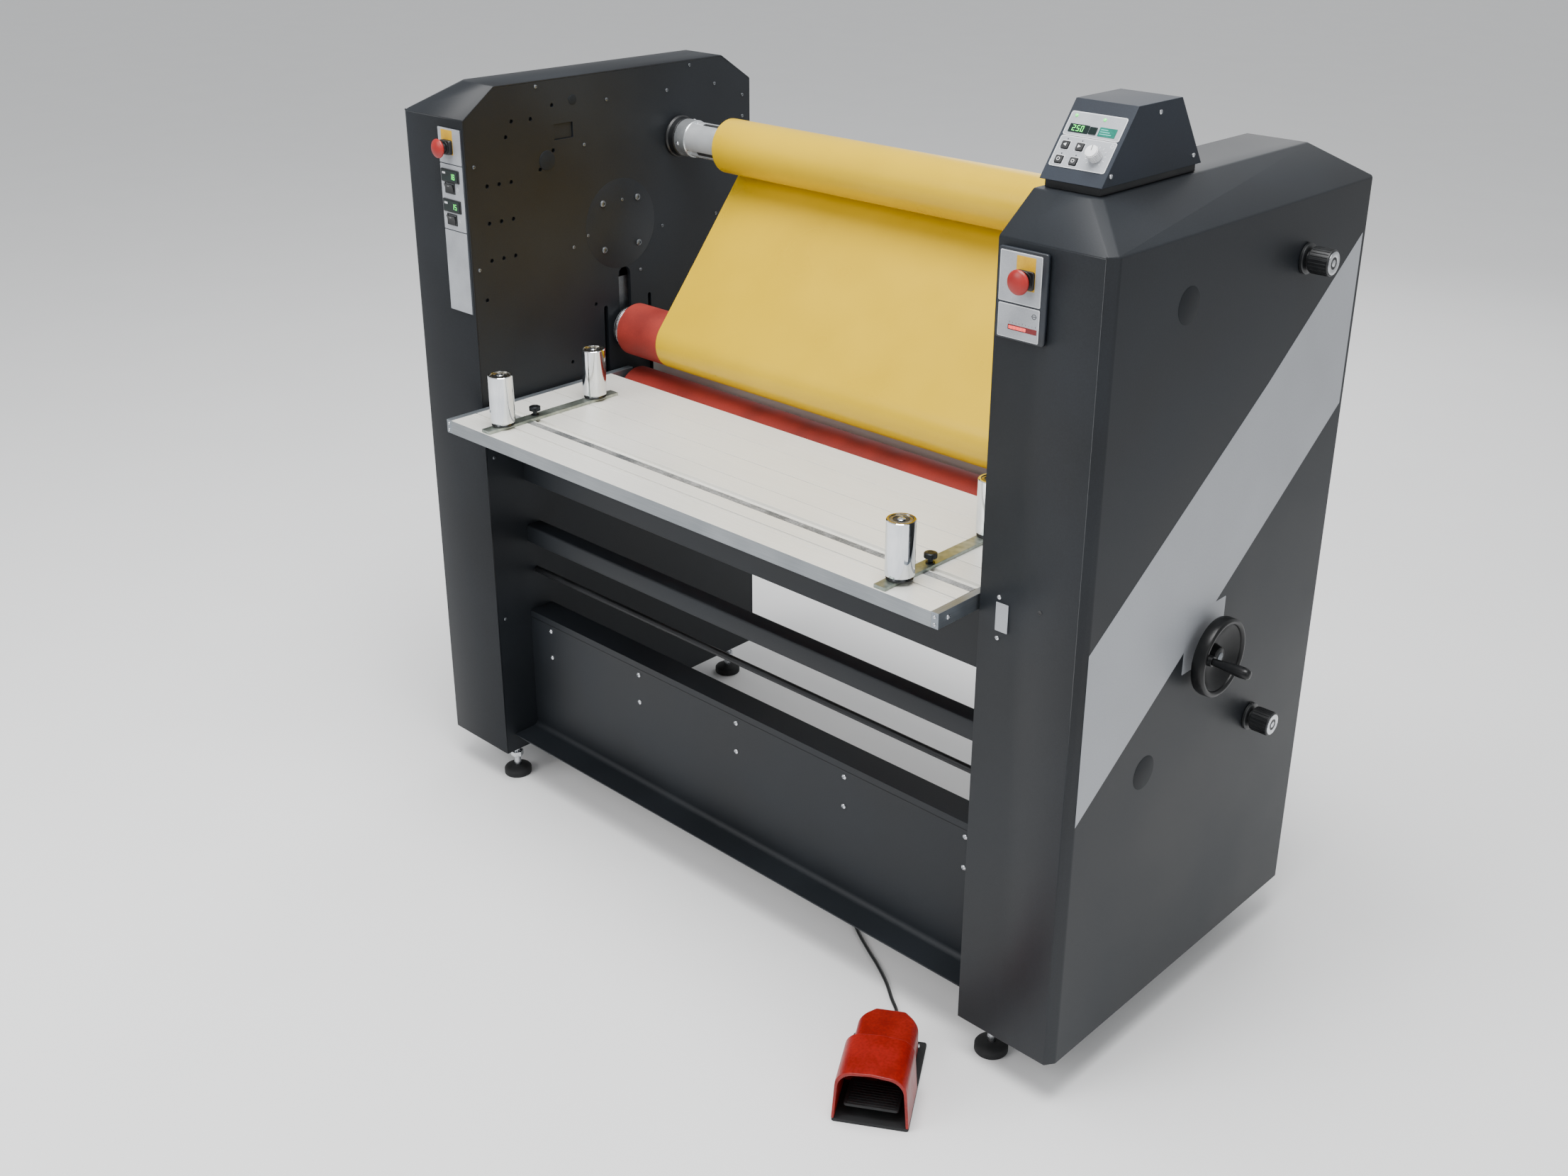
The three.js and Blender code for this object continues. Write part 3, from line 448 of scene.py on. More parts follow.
def cableRoute():
    lie = cableLook["diameter"] / 2 + 0.2
    end = pedalLook["length"]
    gland = pedalLook["glandHeight"]
    points = [pedalSpot(0, end - pedalLook["inside"], gland), pedalSpot(0, end - 60, gland),
              pedalSpot(0, end + 15, gland), pedalSpot(0, end + 30, 19), pedalSpot(0, end + 55, 8),
              pedalSpot(0, end + 75, lie)]
    laid = [(470, -362), (430, -332), (380, -302), (347, -285), (285, -250), (248, -222), (222, -178),
            (232, -128), (280, -92), (350, -72), (430, -60), (500, -56)]
    points += [spot(x, y, lie) for x, y in laid]
    rising = [(553, -58, lie), (569, -59, 8), (580.7, -60, 19.7), (585, -60, 35.7), (585, -60, 76), (585, -60, 118),
              (589.3, -60, 134), (601, -60, 145.7), (617, -60, 150), (635, -60, 150)]
    return points + [spot(*p) for p in rising]


def curlSpot(before, a, b, after, share):  # a point on the centripetal curve between a and b
    gaps = [max((q - p).length ** 0.5, 1e-6) for p, q in ((before, a), (a, b), (b, after))]
    t0, t1, t2, t3 = 0, gaps[0], gaps[0] + gaps[1], sum(gaps)
    t = t1 + (t2 - t1) * share
    a1 = before.lerp(a, (t - t0) / (t1 - t0))
    a2 = a.lerp(b, (t - t1) / (t2 - t1))
    a3 = b.lerp(after, (t - t2) / (t3 - t2))
    b1 = a1.lerp(a2, (t - t0) / (t2 - t0))
    b2 = a2.lerp(a3, (t - t1) / (t3 - t1))
    return b1.lerp(b2, (t - t1) / (t2 - t1))


def addCable():
    route = cableRoute()
    ends = [route[0] * 2 - route[1], *route, route[-1] * 2 - route[-2]]
    path = []
    for i in range(1, len(ends) - 2):
        path += [curlSpot(*ends[i - 1:i + 3], step / 6) for step in range(6)]
    path.append(route[-1])
    curve = bpy.data.curves.new("foot_cable", "CURVE")
    curve.dimensions = "3D"
    curve.bevel_depth = cableLook["diameter"] / 2 * mm
    curve.bevel_resolution = 5
    curve.use_fill_caps = True
    line = curve.splines.new("POLY")
    line.points.add(len(path) - 1)
    for point, place in zip(line.points, path):
        point.co = (*place, 1)
    cable = linked("foot_cable", curve)
    material, slotName = finishes["pvcJacket"]
    curve.materials.append(material)
    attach(cable, "frame")
    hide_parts("foot_switch_cable")
    return cable, path


cable, cablePath = addCable()


# ---- cabinets ----
coverLook = {"wall": 3, "rise": 58, "frontRun": 80, "backRun": 88, "sideRun": 87, "frontCut": (12, 18),
             "backCut": 8, "ridge": 11, "bend": 2.6}
frontFace = facingFront(middleX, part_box("left_cover")[0].y)


def sidePlace(x, out):  # a wall at x facing out along X: across is +Y, up is +Z
    return placed(Vector((x, 0, 0)), (0, 1, 0), (0, 0, 1), (out, 0, 0))


acrossPlace = sidePlace(middleX, 1)


def coverCuts(low, high, outer, side):
    rise = coverLook["rise"] * mm
    runs = {k: coverLook[k] * mm for k in ("frontRun", "backRun", "sideRun")}
    cutX, cutY = (c * mm for c in coverLook["frontCut"])
    corner = coverLook["backCut"] * mm
    shoulder = high.z - rise
    return [
        (Vector((outer, low.y, shoulder)), Vector((0, -rise, runs["frontRun"]))),
        (Vector((outer, high.y, shoulder)), Vector((0, rise, runs["backRun"]))),
        (Vector((outer, low.y, shoulder)), Vector((side * rise, 0, runs["sideRun"]))),
        (Vector((outer, low.y + cutY, low.z)), Vector((side * cutY, -cutX, 0))),
        (Vector((outer, high.y - corner, low.z)), Vector((side, 1, 0))),
    ]


def addCover(name, side):
    low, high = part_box(f"{name}_cover")
    outer = high.x if side > 0 else low.x
    inner = low.x if side > 0 else high.x
    bm = bmesh.new()
    blockIn(bm, low, high)
    for point, normal in coverCuts(low, high, outer, side):
        trim(bm, point, normal)
    bmesh.ops.recalc_face_normals(bm, faces=bm.faces[:])
    openFace = [f for f in bm.faces if abs(f.calc_center_median().x - inner) < 1e-5]
    bmesh.ops.delete(bm, geom=openFace, context="FACES_ONLY")
    bm.normal_update()
    ridge = [e for e in bm.edges if len(e.link_faces) == 2 and all(0.3 < f.normal.z < 0.95 for f in e.link_faces)
             and min(f.normal.y for f in e.link_faces) < -0.3]
    bmesh.ops.bevel(bm, geom=ridge, offset=coverLook["ridge"] * mm, segments=1, affect="EDGES", material=-1)
    bends = [e for e in bm.edges if not e.is_boundary]
    bmesh.ops.bevel(bm, geom=bends, offset=coverLook["bend"] * mm, segments=4, profile=0.5, affect="EDGES",
                    material=-1)
    makePiece(f"{name}_cabinet_cover", bm, "powderCoat", "frame", [f"{name}_cover"], wall=coverLook["wall"])


plateLook = {"inset": 3.3, "thick": 10, "slotWidth": 34, "slotTop": 1142, "hole": 4.2}
smallScrews = [(-211, 1550), (211, 1550), (-27, 1504), (143, 1504), (285, 1503), (371, 1469), (371, 1422),
               (-92, 1419), (-374, 1412), (-377, 1205), (6, 1289), (-92, 1227), (-132, 1209), (52, 1127),
               (120, 1213), (284, 1214), (-374, 800), (-374, 420), (374, 800), (374, 420), (0, 180)]
plainHoles = [(y, z) for y in (-345, -315, -285) for z in (1370, 1295, 1219)]
plainHoles += [(-172, 1509), (-276, 1489), (-228, 1488), (-292, 1460), (-174, 1418), (-210, 1384), (-363, 1140),
               (-78, 1074), (-150, 960), (-300, 840)]


def slopedOutline(low, high, inset):  # side view of a cabinet, shrunk by inset all round, in millimetres
    front, back, floor, top = (v / mm for v in (low.y, high.y, low.z, high.z))
    rise = coverLook["rise"]

    def shrink(run):
        long = math.hypot(run, rise)
        return (long - run) / rise * inset, (long - rise) / run * inset

    frontTop, frontSide = shrink(coverLook["frontRun"])
    backTop, backSide = shrink(coverLook["backRun"])
    return [(front + inset, floor + inset), (back - inset, floor + inset),
            (back - inset, top - rise - backSide), (back - coverLook["backRun"] + backTop, top - inset),
            (front + coverLook["frontRun"] - frontTop, top - inset), (front + inset, top - rise - frontSide)]


def slotShape(y, width, bottom, top):
    radius = width / 2
    arc = [(y + radius * math.cos(math.pi * i / 12), top - radius + radius * math.sin(math.pi * i / 12))
           for i in range(13)]
    return [(y - radius, bottom), (y + radius, bottom), *arc]


def cutAway(piece, bm):  # takes the shapes in bm out of piece
    bmesh.ops.recalc_face_normals(bm, faces=bm.faces[:])
    mesh = bpy.data.meshes.new("cutter")
    bm.to_mesh(mesh)
    bm.free()
    cutter = linked("cutter", mesh)
    cut = piece.modifiers.new("cut", "BOOLEAN")
    cut.object = cutter
    cut.solver = "EXACT"
    bpy.context.view_layer.update()
    made = bpy.data.meshes.new_from_object(piece.evaluated_get(bpy.context.evaluated_depsgraph_get()))
    piece.modifiers.clear()
    piece.data = made
    bpy.data.objects.remove(cutter)
    made.polygons.foreach_set("use_smooth", [True] * len(made.polygons))
    made.set_sharp_from_angle(angle=math.radians(35))


def addSidePlate(name, side):
    low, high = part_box(f"{name}_cover")
    rollerY, lowerZ = sideSpot("upper_roller_sleeve")[0], sideSpot("lower_roller_sleeve")[1]
    face = low.x if side > 0 else high.x
    place = sidePlace(face, -side)
    thick = plateLook["thick"]
    plate = shape(f"{name}_inner_plate", "powderCoat", "frame",
          (prism, place, slopedOutline(low, high, plateLook["inset"]), (-thick, 0)),
          replaced=[f"{name}_side_plate"])
    cuts = bmesh.new()
    through = (-thick - 5, 5)
    wide = plateLook["slotWidth"]
    prism(cuts, place, slotShape(rollerY, wide, 962, plateLook["slotTop"]), through)
    prism(cuts, place, slotShape(rollerY - 56, 11, lowerZ, 1065), through)
    prism(cuts, place, slotShape(rollerY + 71, 9, lowerZ, 1070), through)
    slab(cuts, place, (-170, -120), (1438, 1470), through, 1.5)
    turn(cuts, place, (rollerY, lowerZ), [(0, through[0]), (17, through[0]), (17, through[1]), (0, through[1])])
    for y, z in plainHoles:
        radius = plateLook["hole"]
        turn(cuts, place, (y, z), [(0, -7), (radius, -7), (radius, 5), (0, 5)], 20)
    bmesh.ops.remove_doubles(cuts, verts=cuts.verts[:], dist=0.01 * mm)
    cutAway(plate, cuts)

    shape(f"{name}_plate_screws", "dullSteel", "frame", (buttonHeads, place, smallScrews, 3.8, 2.0))
    shape(f"{name}_plate_bolts", "dullSteel", "frame",
          (buttonHeads, place, [(y, z) for y in (-49, 49) for z in (1188, 1288)], 7.5, 4.5))
    shape(f"{name}_plate_plugs", "plugPlastic", "frame",
          *[(turn, place, (y, z), [(0, 1.2), (radius - 2, 1.6), (radius, 0.8), (radius + 0.6, -1), (0, -1)], 40)
            for (y, z), radius in (((-118, 1514), 10), ((-191, 1400), 20))])
    shape(f"{name}_recess_cover", "powderCoat", "frame", (slab, place, (-169, -121), (1439, 1469), (-9, -3.5), 1))
    shape(f"{name}_plate_disc", "powderCoat", "frame",
          (turn, place, (0, 1238), [(0, 0.6), (96.4, 0.6), (97, 0.2), (97, -1), (0, -1)], 96))


def addFeet(name):
    for corner in ("front", "rear"):
        place = standing(*middle(f"{name}_{corner}_foot")[:2])
        shape(f"{name}_{corner}_foot_pad", "padRubber", "frame",
              (turn, place, (0, 0), [(0, 0), (30, 0), (31, 1.5), (31, 12), (29, 15), (23, 18), (14, 20),
               (0, 20)], 48), replaced=[f"{name}_{corner}_foot"], smooth=50)
        threads = [(8 if i % 2 else 7.2, 19 + i * 1.1) for i in range(60)]
        shape(f"{name}_{corner}_foot_stem", "brightScrew", "frame",
              (turn, place, (0, 0), [(0, 19), *threads, (0, 84)], 24), smooth=80)
        hexagon = [(15 * math.cos(math.pi / 3 * i), 15 * math.sin(math.pi / 3 * i)) for i in range(6)]
        shape(f"{name}_{corner}_foot_nut", "brightScrew", "frame", (prism, place, hexagon, (45, 57)), edge=1.2)


for sideName, sideSign in sides.items():
    addCover(sideName, sideSign)
    addSidePlate(sideName, sideSign)
    addFeet(sideName)
print("cabinets built")


# ---- right side: stripe, plugs, handwheel and brake knobs ----
stripeLook = {"upper": [(377, 1410.5), (101, 1205), (-377, 877.5)], "lower": [(-377, 565), (377, 1102)],
              "thick": 0.2}
outerFace = sidePlace(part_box("right_cover")[1].x, 1)


def addRightSide():
    shape("side_stripe", "stripeVinyl", "frame",
          (prism, outerFace, stripeLook["upper"] + stripeLook["lower"], (0.02, stripeLook["thick"])))
    plugs = bmesh.new()
    for y, z, radius in ((-181, 1395, 30), (-178, 581, 31)):
        ring = [(0, 0.6), (radius - 1, 0.6), (radius, 0.2), (radius, -1), (0, -1)]
        turn(plugs, outerFace, (y, z), ring, 64)
    makePiece("side_plugs", plugs, "plugPlastic", "frame", smooth=50)
    wheelY, wheelZ = sideSpot("handwheel")
    shape("wheel_backing_plate", "stripeVinyl", "frame",
          (slab, outerFace, (wheelY - 62, wheelY + 62), (wheelZ - 24, wheelZ + 83), (0, 0.28), 2))


def addHandwheel():
    wheelSpot, spoke = sideSpot("handwheel"), sideSpot("wheel_handle")
    rim = [(71 - 5.5 + 5.5 * math.cos(a), 38 + 6 * math.sin(a)) for a in [math.pi * i / 8 for i in range(9)]]
    shape("handwheel_casting", "phenolic", "handwheel",
          (turn, outerFace, wheelSpot, [(0, 0.4), (18, 0.4), (18, 12), (30, 15), (57, 24), (62, 19), (69, 20),
           (71, 26), *rim[1:], (57, 36), (52, 32), (34, 22), (20, 20), (17, 33), (15, 34.5), (0, 34.5)], 96),
          (turn, outerFace, spoke, [(0, 24), (11, 26), (9.5, 44), (9, 51), (0, 51)], 32), replaced=["handwheel"],
          edge=0.7, smooth=50, segments=2)
    shape("handwheel_cap", "dullSteel", "handwheel",
          (turn, outerFace, wheelSpot, [(0, 34.4), (8.5, 34.4), (8.5, 35.6), (7, 36.2), (0, 36.2)], 32))
    base, length = 51.4, 120 - 51.4
    curve = [(6.2, 0), (6.6, 0.04), (7.0, 0.15), (8.2, 0.35), (9.6, 0.58), (10, 0.7), (9.9, 0.84), (9, 0.93),
             (7, 0.98), (4, 1)]
    shape("handwheel_grip", "phenolic", "wheel_handle",
          (turn, outerFace, spoke, [(0, base), *((r, base + length * t) for r, t in curve),
           (0, base + length)], 48), replaced=["wheel_handle"], smooth=70)


brakeLook = {"grip": 22, "ribs": 24}


def addBrakeKnob(node):
    place = sideSpot(node)
    grip = brakeLook["grip"]
    shape(f"{node}_body", "blackPlastic", node,
          (turn, outerFace, place, [(0, 0.4), (25, 0.4), (26, 1.4), (26, 6), (24.5, 7), (14, 7), (14, 12),
           (20.5, 12), (grip, 13.5), (grip, 47.5), (20.8, 48.8), (0, 48.8)], 72), replaced=[node], edge=0.5,
          segments=2)
    ribs = bmesh.new()
    for i in range(brakeLook["ribs"]):
        angle = 2 * math.pi * i / brakeLook["ribs"]
        centre = (place[0] + grip * math.cos(angle), place[1] + grip * math.sin(angle))
        turn(ribs, outerFace, centre, [(0, 14.5), (0.9, 15.2), (0.9, 45.6), (0, 46.4)], 8)
    makePiece(f"{node}_ribs", ribs, "blackPlastic", node)
    shape(f"{node}_disc", "brightScrew", node,
          (turn, outerFace, place, [(10.4, 48.6), (19.4, 48.6), (19.4, 49.6), (18.8, 49.9), (11, 49.9),
           (10.4, 49.5)], 48, True),
          (turn, outerFace, place, [(0, 48.6), (5.8, 48.6), (5.8, 49.5), (5.2, 49.9), (0, 49.9)], 32))
    shape(f"{node}_pointer", "blackPlastic", node,
          (slab, outerFace, (place[0] - 2, place[0] + 2), (place[1] + grip, place[1] + grip + 5.5), (0.6, 5.4), 1),
          edge=0.5)


addRightSide()
addHandwheel()
addBrakeKnob("upper_brake_knob")
addBrakeKnob("lower_brake_knob")
print("hand controls built")


# ---- pressure rollers, supply shaft and film ----
def axisPlace(node):  # looking along +X at a node's own middle line
    return placed(Vector((middleX, *middle(node)[1:])), (0, 1, 0), (0, 0, 1), (1, 0, 0))


rollerLook = {"half": 617, "radius": 57, "core": 50, "stub": 23, "leftEnd": 700.5, "ringReach": 2}


def addRoller(name, collar, rightEnd):
    place = axisPlace(f"{name}_roller_sleeve")
    half, radius, core = (rollerLook[k] for k in ("half", "radius", "core"))
    shape(f"{name}_rubber_sleeve", "siliconeRubber", f"{name}_roller",
          (turn, place, (0, 0), [(core, -half), (radius - 1.2, -half), (radius, 1.2 - half),
           (radius, half - 1.2), (radius - 1.2, half), (core, half)], 128, True),
          replaced=[f"{name}_roller_sleeve"])
    end = half + rollerLook["stub"]
    oneEnd = [(core - 0.1, half - 1), (core - 2, half + 0.5), (collar + 1, half + 0.5),
              (collar, half + 3), (collar, end - 6), (collar - 1.5, end - 5.5), (collar - 1.5, end - 3.5),
              (collar, end - 3), (collar - 1, end), (15, end)]
    mirrored = [(r, -h) for r, h in oneEnd]
    leftEnd = rollerLook["leftEnd"]
    shape(f"{name}_roller_core", "turnedSteel", f"{name}_roller",
          (turn, place, (0, 0), [(0, -leftEnd), (14, -leftEnd), (15, 1 - leftEnd), *reversed(mirrored),
           *oneEnd, (15, rightEnd - 1), (14, rightEnd), (0, rightEnd)], 96), replaced=[f"{name}_roller_shaft"])
    clips = bmesh.new()  # a clamping ring at each end, drawn in twice round its rim
    for sign in (-1, 1):
        wide = collar + rollerLook["ringReach"]
        ring = [(collar - 1, half + 4), (wide - 2, half + 4), (wide, half + 5), (wide, half + 9),
                (wide - 2, half + 10), (wide - 2, half + 13), (wide, half + 14), (wide, half + 18),
                (wide - 2, half + 19), (collar - 1, half + 19)]
        turn(clips, place, (0, 0), [(r, sign * h) for r, h in ring], 64, closed=True)
    makePiece(f"{name}_roller_rings", clips, "brightScrew", f"{name}_roller", edge=0.3, segments=2)


shaftLook = {"radius": 37.7, "slotDepth": 4, "slotHalfAngle": 9, "slots": 3, "end": 593.7}


def addSupply():
    place = axisPlace("supply_shaft")
    radius, end = shaftLook["radius"], shaftLook["end"]
    outline = []
    steps = 120
    for i in range(steps):
        angle = 360 * i / steps
        away = min(abs((angle - k * 120 - 100 + 180) % 360 - 180) for k in range(shaftLook["slots"]))
        depth = shaftLook["slotDepth"] if away < shaftLook["slotHalfAngle"] else 0
        turned = math.radians(angle)
        outline.append(((radius - depth) * math.cos(turned), (radius - depth) * math.sin(turned)))
    shape("supply_shaft_tube", "shaftChrome", "supply_roll", (prism, place, outline, (-end, end)),
          replaced=["supply_shaft"], smooth=20)
    strips = bmesh.new()
    for k in range(shaftLook["slots"]):
        angle = math.radians(100 + 120 * k)
        turnedPlace = place @ Matrix.Rotation(angle, 4, "Z")
        slab(strips, turnedPlace, (radius - 3.5, radius - 0.6), (-4.4, 4.4), (-end + 30, end - 30), 1)
    makePiece("supply_shaft_strips", strips, "padRubber", "supply_roll")
    for name, sign in sides.items():
        low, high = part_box(f"{name}_cover")
        inner = (low.x if sign > 0 else high.x) - middleX
        wallAt = abs(inner) / mm
        hub = [(0, sign * (wallAt - 0.5)), (45, sign * (wallAt - 0.5)), (45, sign * (wallAt - 5)),
               (42, sign * (wallAt - 8)), (41, sign * (wallAt - 22)), (39, sign * (wallAt - 23)),
               (0, sign * (wallAt - 23))]
        shape(f"{name}_shaft_flange", "blackPlastic", "frame", (turn, place, (0, 0), hub, 72), edge=0.6,
              segments=2)
        ring = [(0, sign * (wallAt - 23.4)), (39, sign * (wallAt - 23.4)), (40, sign * (wallAt - 25)),
                (40, sign * (wallAt - 54)), (38.5, sign * (wallAt - 56)), (0, sign * (wallAt - 56))]
        shape(f"{name}_shaft_chuck", "turnedSteel", "supply_roll", (turn, place, (0, 0), ring, 72))
        grub = bmesh.new()
        for angle in (70, 190, 310):
            out = Vector((0, math.cos(math.radians(angle)), math.sin(math.radians(angle))))
            origin = place.translation + Vector((sign * (wallAt - 34) * mm, 0, 0)) + out * 39 * mm
            buttonHeads(grub, placed(origin, (1, 0, 0), out.cross(Vector((1, 0, 0))), out), [(0, 0)], 4.5, 3)
        makePiece(f"{name}_chuck_screws", grub, "brightScrew", "supply_roll")


def addFilmRoll():
    place = axisPlace("film_roll")
    shape("film_winding", "filmRoll", "supply_roll",
          (turn, place, (0, 0), [(41.8, -489), (56.9, -490), (57.5, -489.4), (57.5, 489.4), (56.9, 490),
           (41.8, 489)], 160, True), replaced=["film_roll"])
    shape("film_core", "coreBoard", "supply_roll",
          (turn, place, (0, 0), [(38.1, -490), (41.5, -490), (41.5, 490), (38.1, 490)], 96, True), edge=0.4,
          segments=2)


webLook = {"half": 490, "thick": 0.5, "gap": 0.3, "pastNip": 25, "sag": 1.2}


def webLine():  # the web as seen along X: roll's rear underside, straight run, then round the upper roller
    rollLow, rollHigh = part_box("film_roll")
    sleeveLow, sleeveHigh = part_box("upper_roller_sleeve")
    rollY, rollZ = sideSpot("film_roll")
    nipY, nipZ = sideSpot("upper_roller_sleeve")
    near = (sleeveHigh.z - sleeveLow.z) / 2 / mm + webLook["gap"]
    far = (rollHigh.z - rollLow.z) / 2 / mm + webLook["gap"] + webLook["thick"]
    away = math.hypot(rollY - nipY, rollZ - nipZ)
    lean = math.atan2(rollY - nipY, rollZ - nipZ) + math.asin((near + far) / away)
    normal = (-math.cos(lean), math.sin(lean))
    start = (rollY - far * normal[0], rollZ - far * normal[1])
    first = math.atan2(normal[1], normal[0])
    last = 1.5 * math.pi + math.radians(webLook["pastNip"])
    meet = (nipY + near * math.cos(first), nipZ + near * math.sin(first))
    straight = 28
    points = []
    for i in range(straight):
        share = i / straight
        sag = webLook["sag"] * math.sin(math.pi * share)
        points.append(tuple(a + (b - a) * share - n * sag for a, b, n in zip(start, meet, normal)))
    arc = 40
    for i in range(arc + 1):
        angle = first + (last - first) * i / arc
        points.append((nipY + near * math.cos(angle), nipZ + near * math.sin(angle)))
    return points, start, meet


def addWeb():
    line, start, meet = webLine()
    half = webLook["half"]
    bm = bmesh.new()
    verts = [bm.verts.new(spot(-half, y, z)) for y, z in line]
    edges = [bm.edges.new(pair) for pair in zip(verts, verts[1:])]
    grown = verts + edges
    strips = 20  # across the width
    for _ in range(strips):
        made = bmesh.ops.extrude_edge_only(bm, edges=[e for e in grown if isinstance(e, bmesh.types.BMEdge)])
        grown = made["geom"]
        moved = [v for v in grown if isinstance(v, bmesh.types.BMVert)]
        bmesh.ops.translate(bm, verts=moved, vec=(2 * half * mm / strips, 0, 0))
    faces = bm.faces[:]
    bmesh.ops.recalc_face_normals(bm, faces=faces)
    bm.normal_update()
    if sum(f.normal.y for f in faces) > 0:
        bmesh.ops.reverse_faces(bm, faces=faces)
    outer = bmesh.ops.duplicate(bm, geom=faces)  # the far side of the film, closed along its edges
    back = [f for f in outer["geom"] if isinstance(f, bmesh.types.BMFace)]
    rims = [e for e in outer["geom"] if isinstance(e, bmesh.types.BMEdge) and e.is_boundary]
    nearRims = [e for e in bm.edges if e.is_boundary and e not in set(rims)]
    for v in {v for f in back for v in f.verts}:
        v.co += v.normal * webLook["thick"] * mm
    bmesh.ops.bridge_loops(bm, edges=rims + nearRims)
    web = makePiece("film_sheet", bm, "filmWeb", None, ["film_web"], smooth=60)
    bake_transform(web)


addRoller("upper", 46, 700)
addRoller("lower", 22, 770)
addSupply()
addFilmRoll()
addWeb()
print("rollers and film built")


# ---- tables ----
tableLook = {
    # centre, width and depth of each groove; the rib by the front lip stands between two fine ones
    "infeedGrooves": [(-441, 1.2, 1), (-431, 1.2, 1), (-427, 3, 4), (-366, 14, 6), (-307, 1.6, 3), (-230, 1.6, 3),
                      (-150, 1.2, 2)],
    "outfeedGrooves": [(230, 1.6, 3), (307, 1.6, 3), (366, 4, 4), (427, 4, 4)],
    "strip": (-391, -376),
}


def grooveOutline(front, back, grooves, top, bottom):
    points = [(front, bottom), (back, bottom), (back, top)]
    for centre, width, depth in sorted(grooves, reverse=True):
        points += [(centre + width / 2, top), (centre + width / 2, top - depth), (centre - width / 2, top - depth),
                   (centre - width / 2, top)]
    return [*points, (front, top)]


def addTable(name, grooves, strip):
    low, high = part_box(name)
    front, back, top = low.y / mm, high.y / mm, high.z / mm
    half = (high.x - low.x) / 2 / mm
    bm = bmesh.new()
    if strip:
        grooves = [*grooves, ((strip[0] + strip[1]) / 2, strip[1] - strip[0], 1.2)]
    prism(bm, acrossPlace, grooveOutline(front, back, grooves, top, low.z / mm), (-half, half))
    # the upright front and rear faces take the darker copy of the anodised finish: painted shade
    paintWhere(bm, 1, lambda f: abs(f.normal.y) > 0.9 and abs(f.calc_center_median().y) > 0.45)
    makePiece(f"{name}_planks", bm, "anodisedLitTop", "frame", [name], edge=0.5, others=["anodisedShadedLip"], segments=2)
    if strip:
        flat = standing(middleX, 0, high.z)
        shape(f"{name}_grip_strip", "pittedStrip", "frame",
              (slab, flat, (-half, half), (strip[0] + 0.4, strip[1] - 0.4), (-1.6, -0.1)))


def addRails():
    for name, sign in sides.items():
        low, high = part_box(f"infeed_{name}_rail")
        shape(f"{name}_table_rail", "railAluminium", "frame", (blockIn, low, high),
              replaced=[f"infeed_{name}_rail"], edge=0.9)
        endFace = facingFront((low.x + high.x) / 2, low.y)
        sideFace = sidePlace(high.x if sign > 0 else low.x, sign)
        middle = (low.z + high.z) / 2 / mm
        shape(f"{name}_rail_screws", "brightScrew", "frame",
              (buttonHeads, endFace, [(0, high.z / mm - 7.5), (0, low.z / mm + 7.5)], 3.2, 1.8),
              (buttonHeads, sideFace, [(y, middle) for y in (-465, -330, -120)], 4.5, 2.6))


addTable("infeed_table", tableLook["infeedGrooves"], tableLook["strip"])
addTable("outfeed_table", tableLook["outfeedGrooves"], None)
addRails()


# ---- lay guides ----
guideLook = {"rollerRadius": 25, "thumbRadius": 11.1, "fluteDepth": 0.4, "flutes": 30}


def addGuide(name):
    low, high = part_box(f"{name}_guide_bar")
    flat = standing((low.x + high.x) / 2, 0)
    half = halfWidth(f"{name}_guide_bar")
    shape(f"{name}_guide_strip", "zincPlate", f"{name}_guide",
          (slab, flat, (-half, half), (low.y / mm, high.y / mm), (low.z / mm, high.z / mm), 1.5),
          replaced=[f"{name}_guide_bar"], edge=0.5, segments=2)
    for place in ("front", "rear"):
        addGuideRoller(name, place, high.z / mm)
    screwLow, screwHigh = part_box(f"{name}_thumb_screw")
    base, top = screwLow.z / mm, screwHigh.z / mm
    centre = standing(*middle(f"{name}_thumb_screw")[:2])
    head = fluted(guideLook["thumbRadius"], guideLook["fluteDepth"], guideLook["flutes"])
    shape(f"{name}_thumb_knob", "darkSteel", f"{name}_thumb_screw",
          (turn, centre, (0, 0), [(0, base), (8, base), (8, base + 1.4), (4.6, base + 1.6), (4.6, top - 8.4),
           (0, top - 8.4)], 32), (prism, centre, head, (top - 8.6, top - 0.6)),
          (turn, centre, (0, 0), [(0, top - 0.7), (10.2, top - 0.7), (9.6, top), (5, top), (4.6, top - 1.2),
           (0, top - 1.2)], 48), replaced=[f"{name}_thumb_screw"], smooth=50)


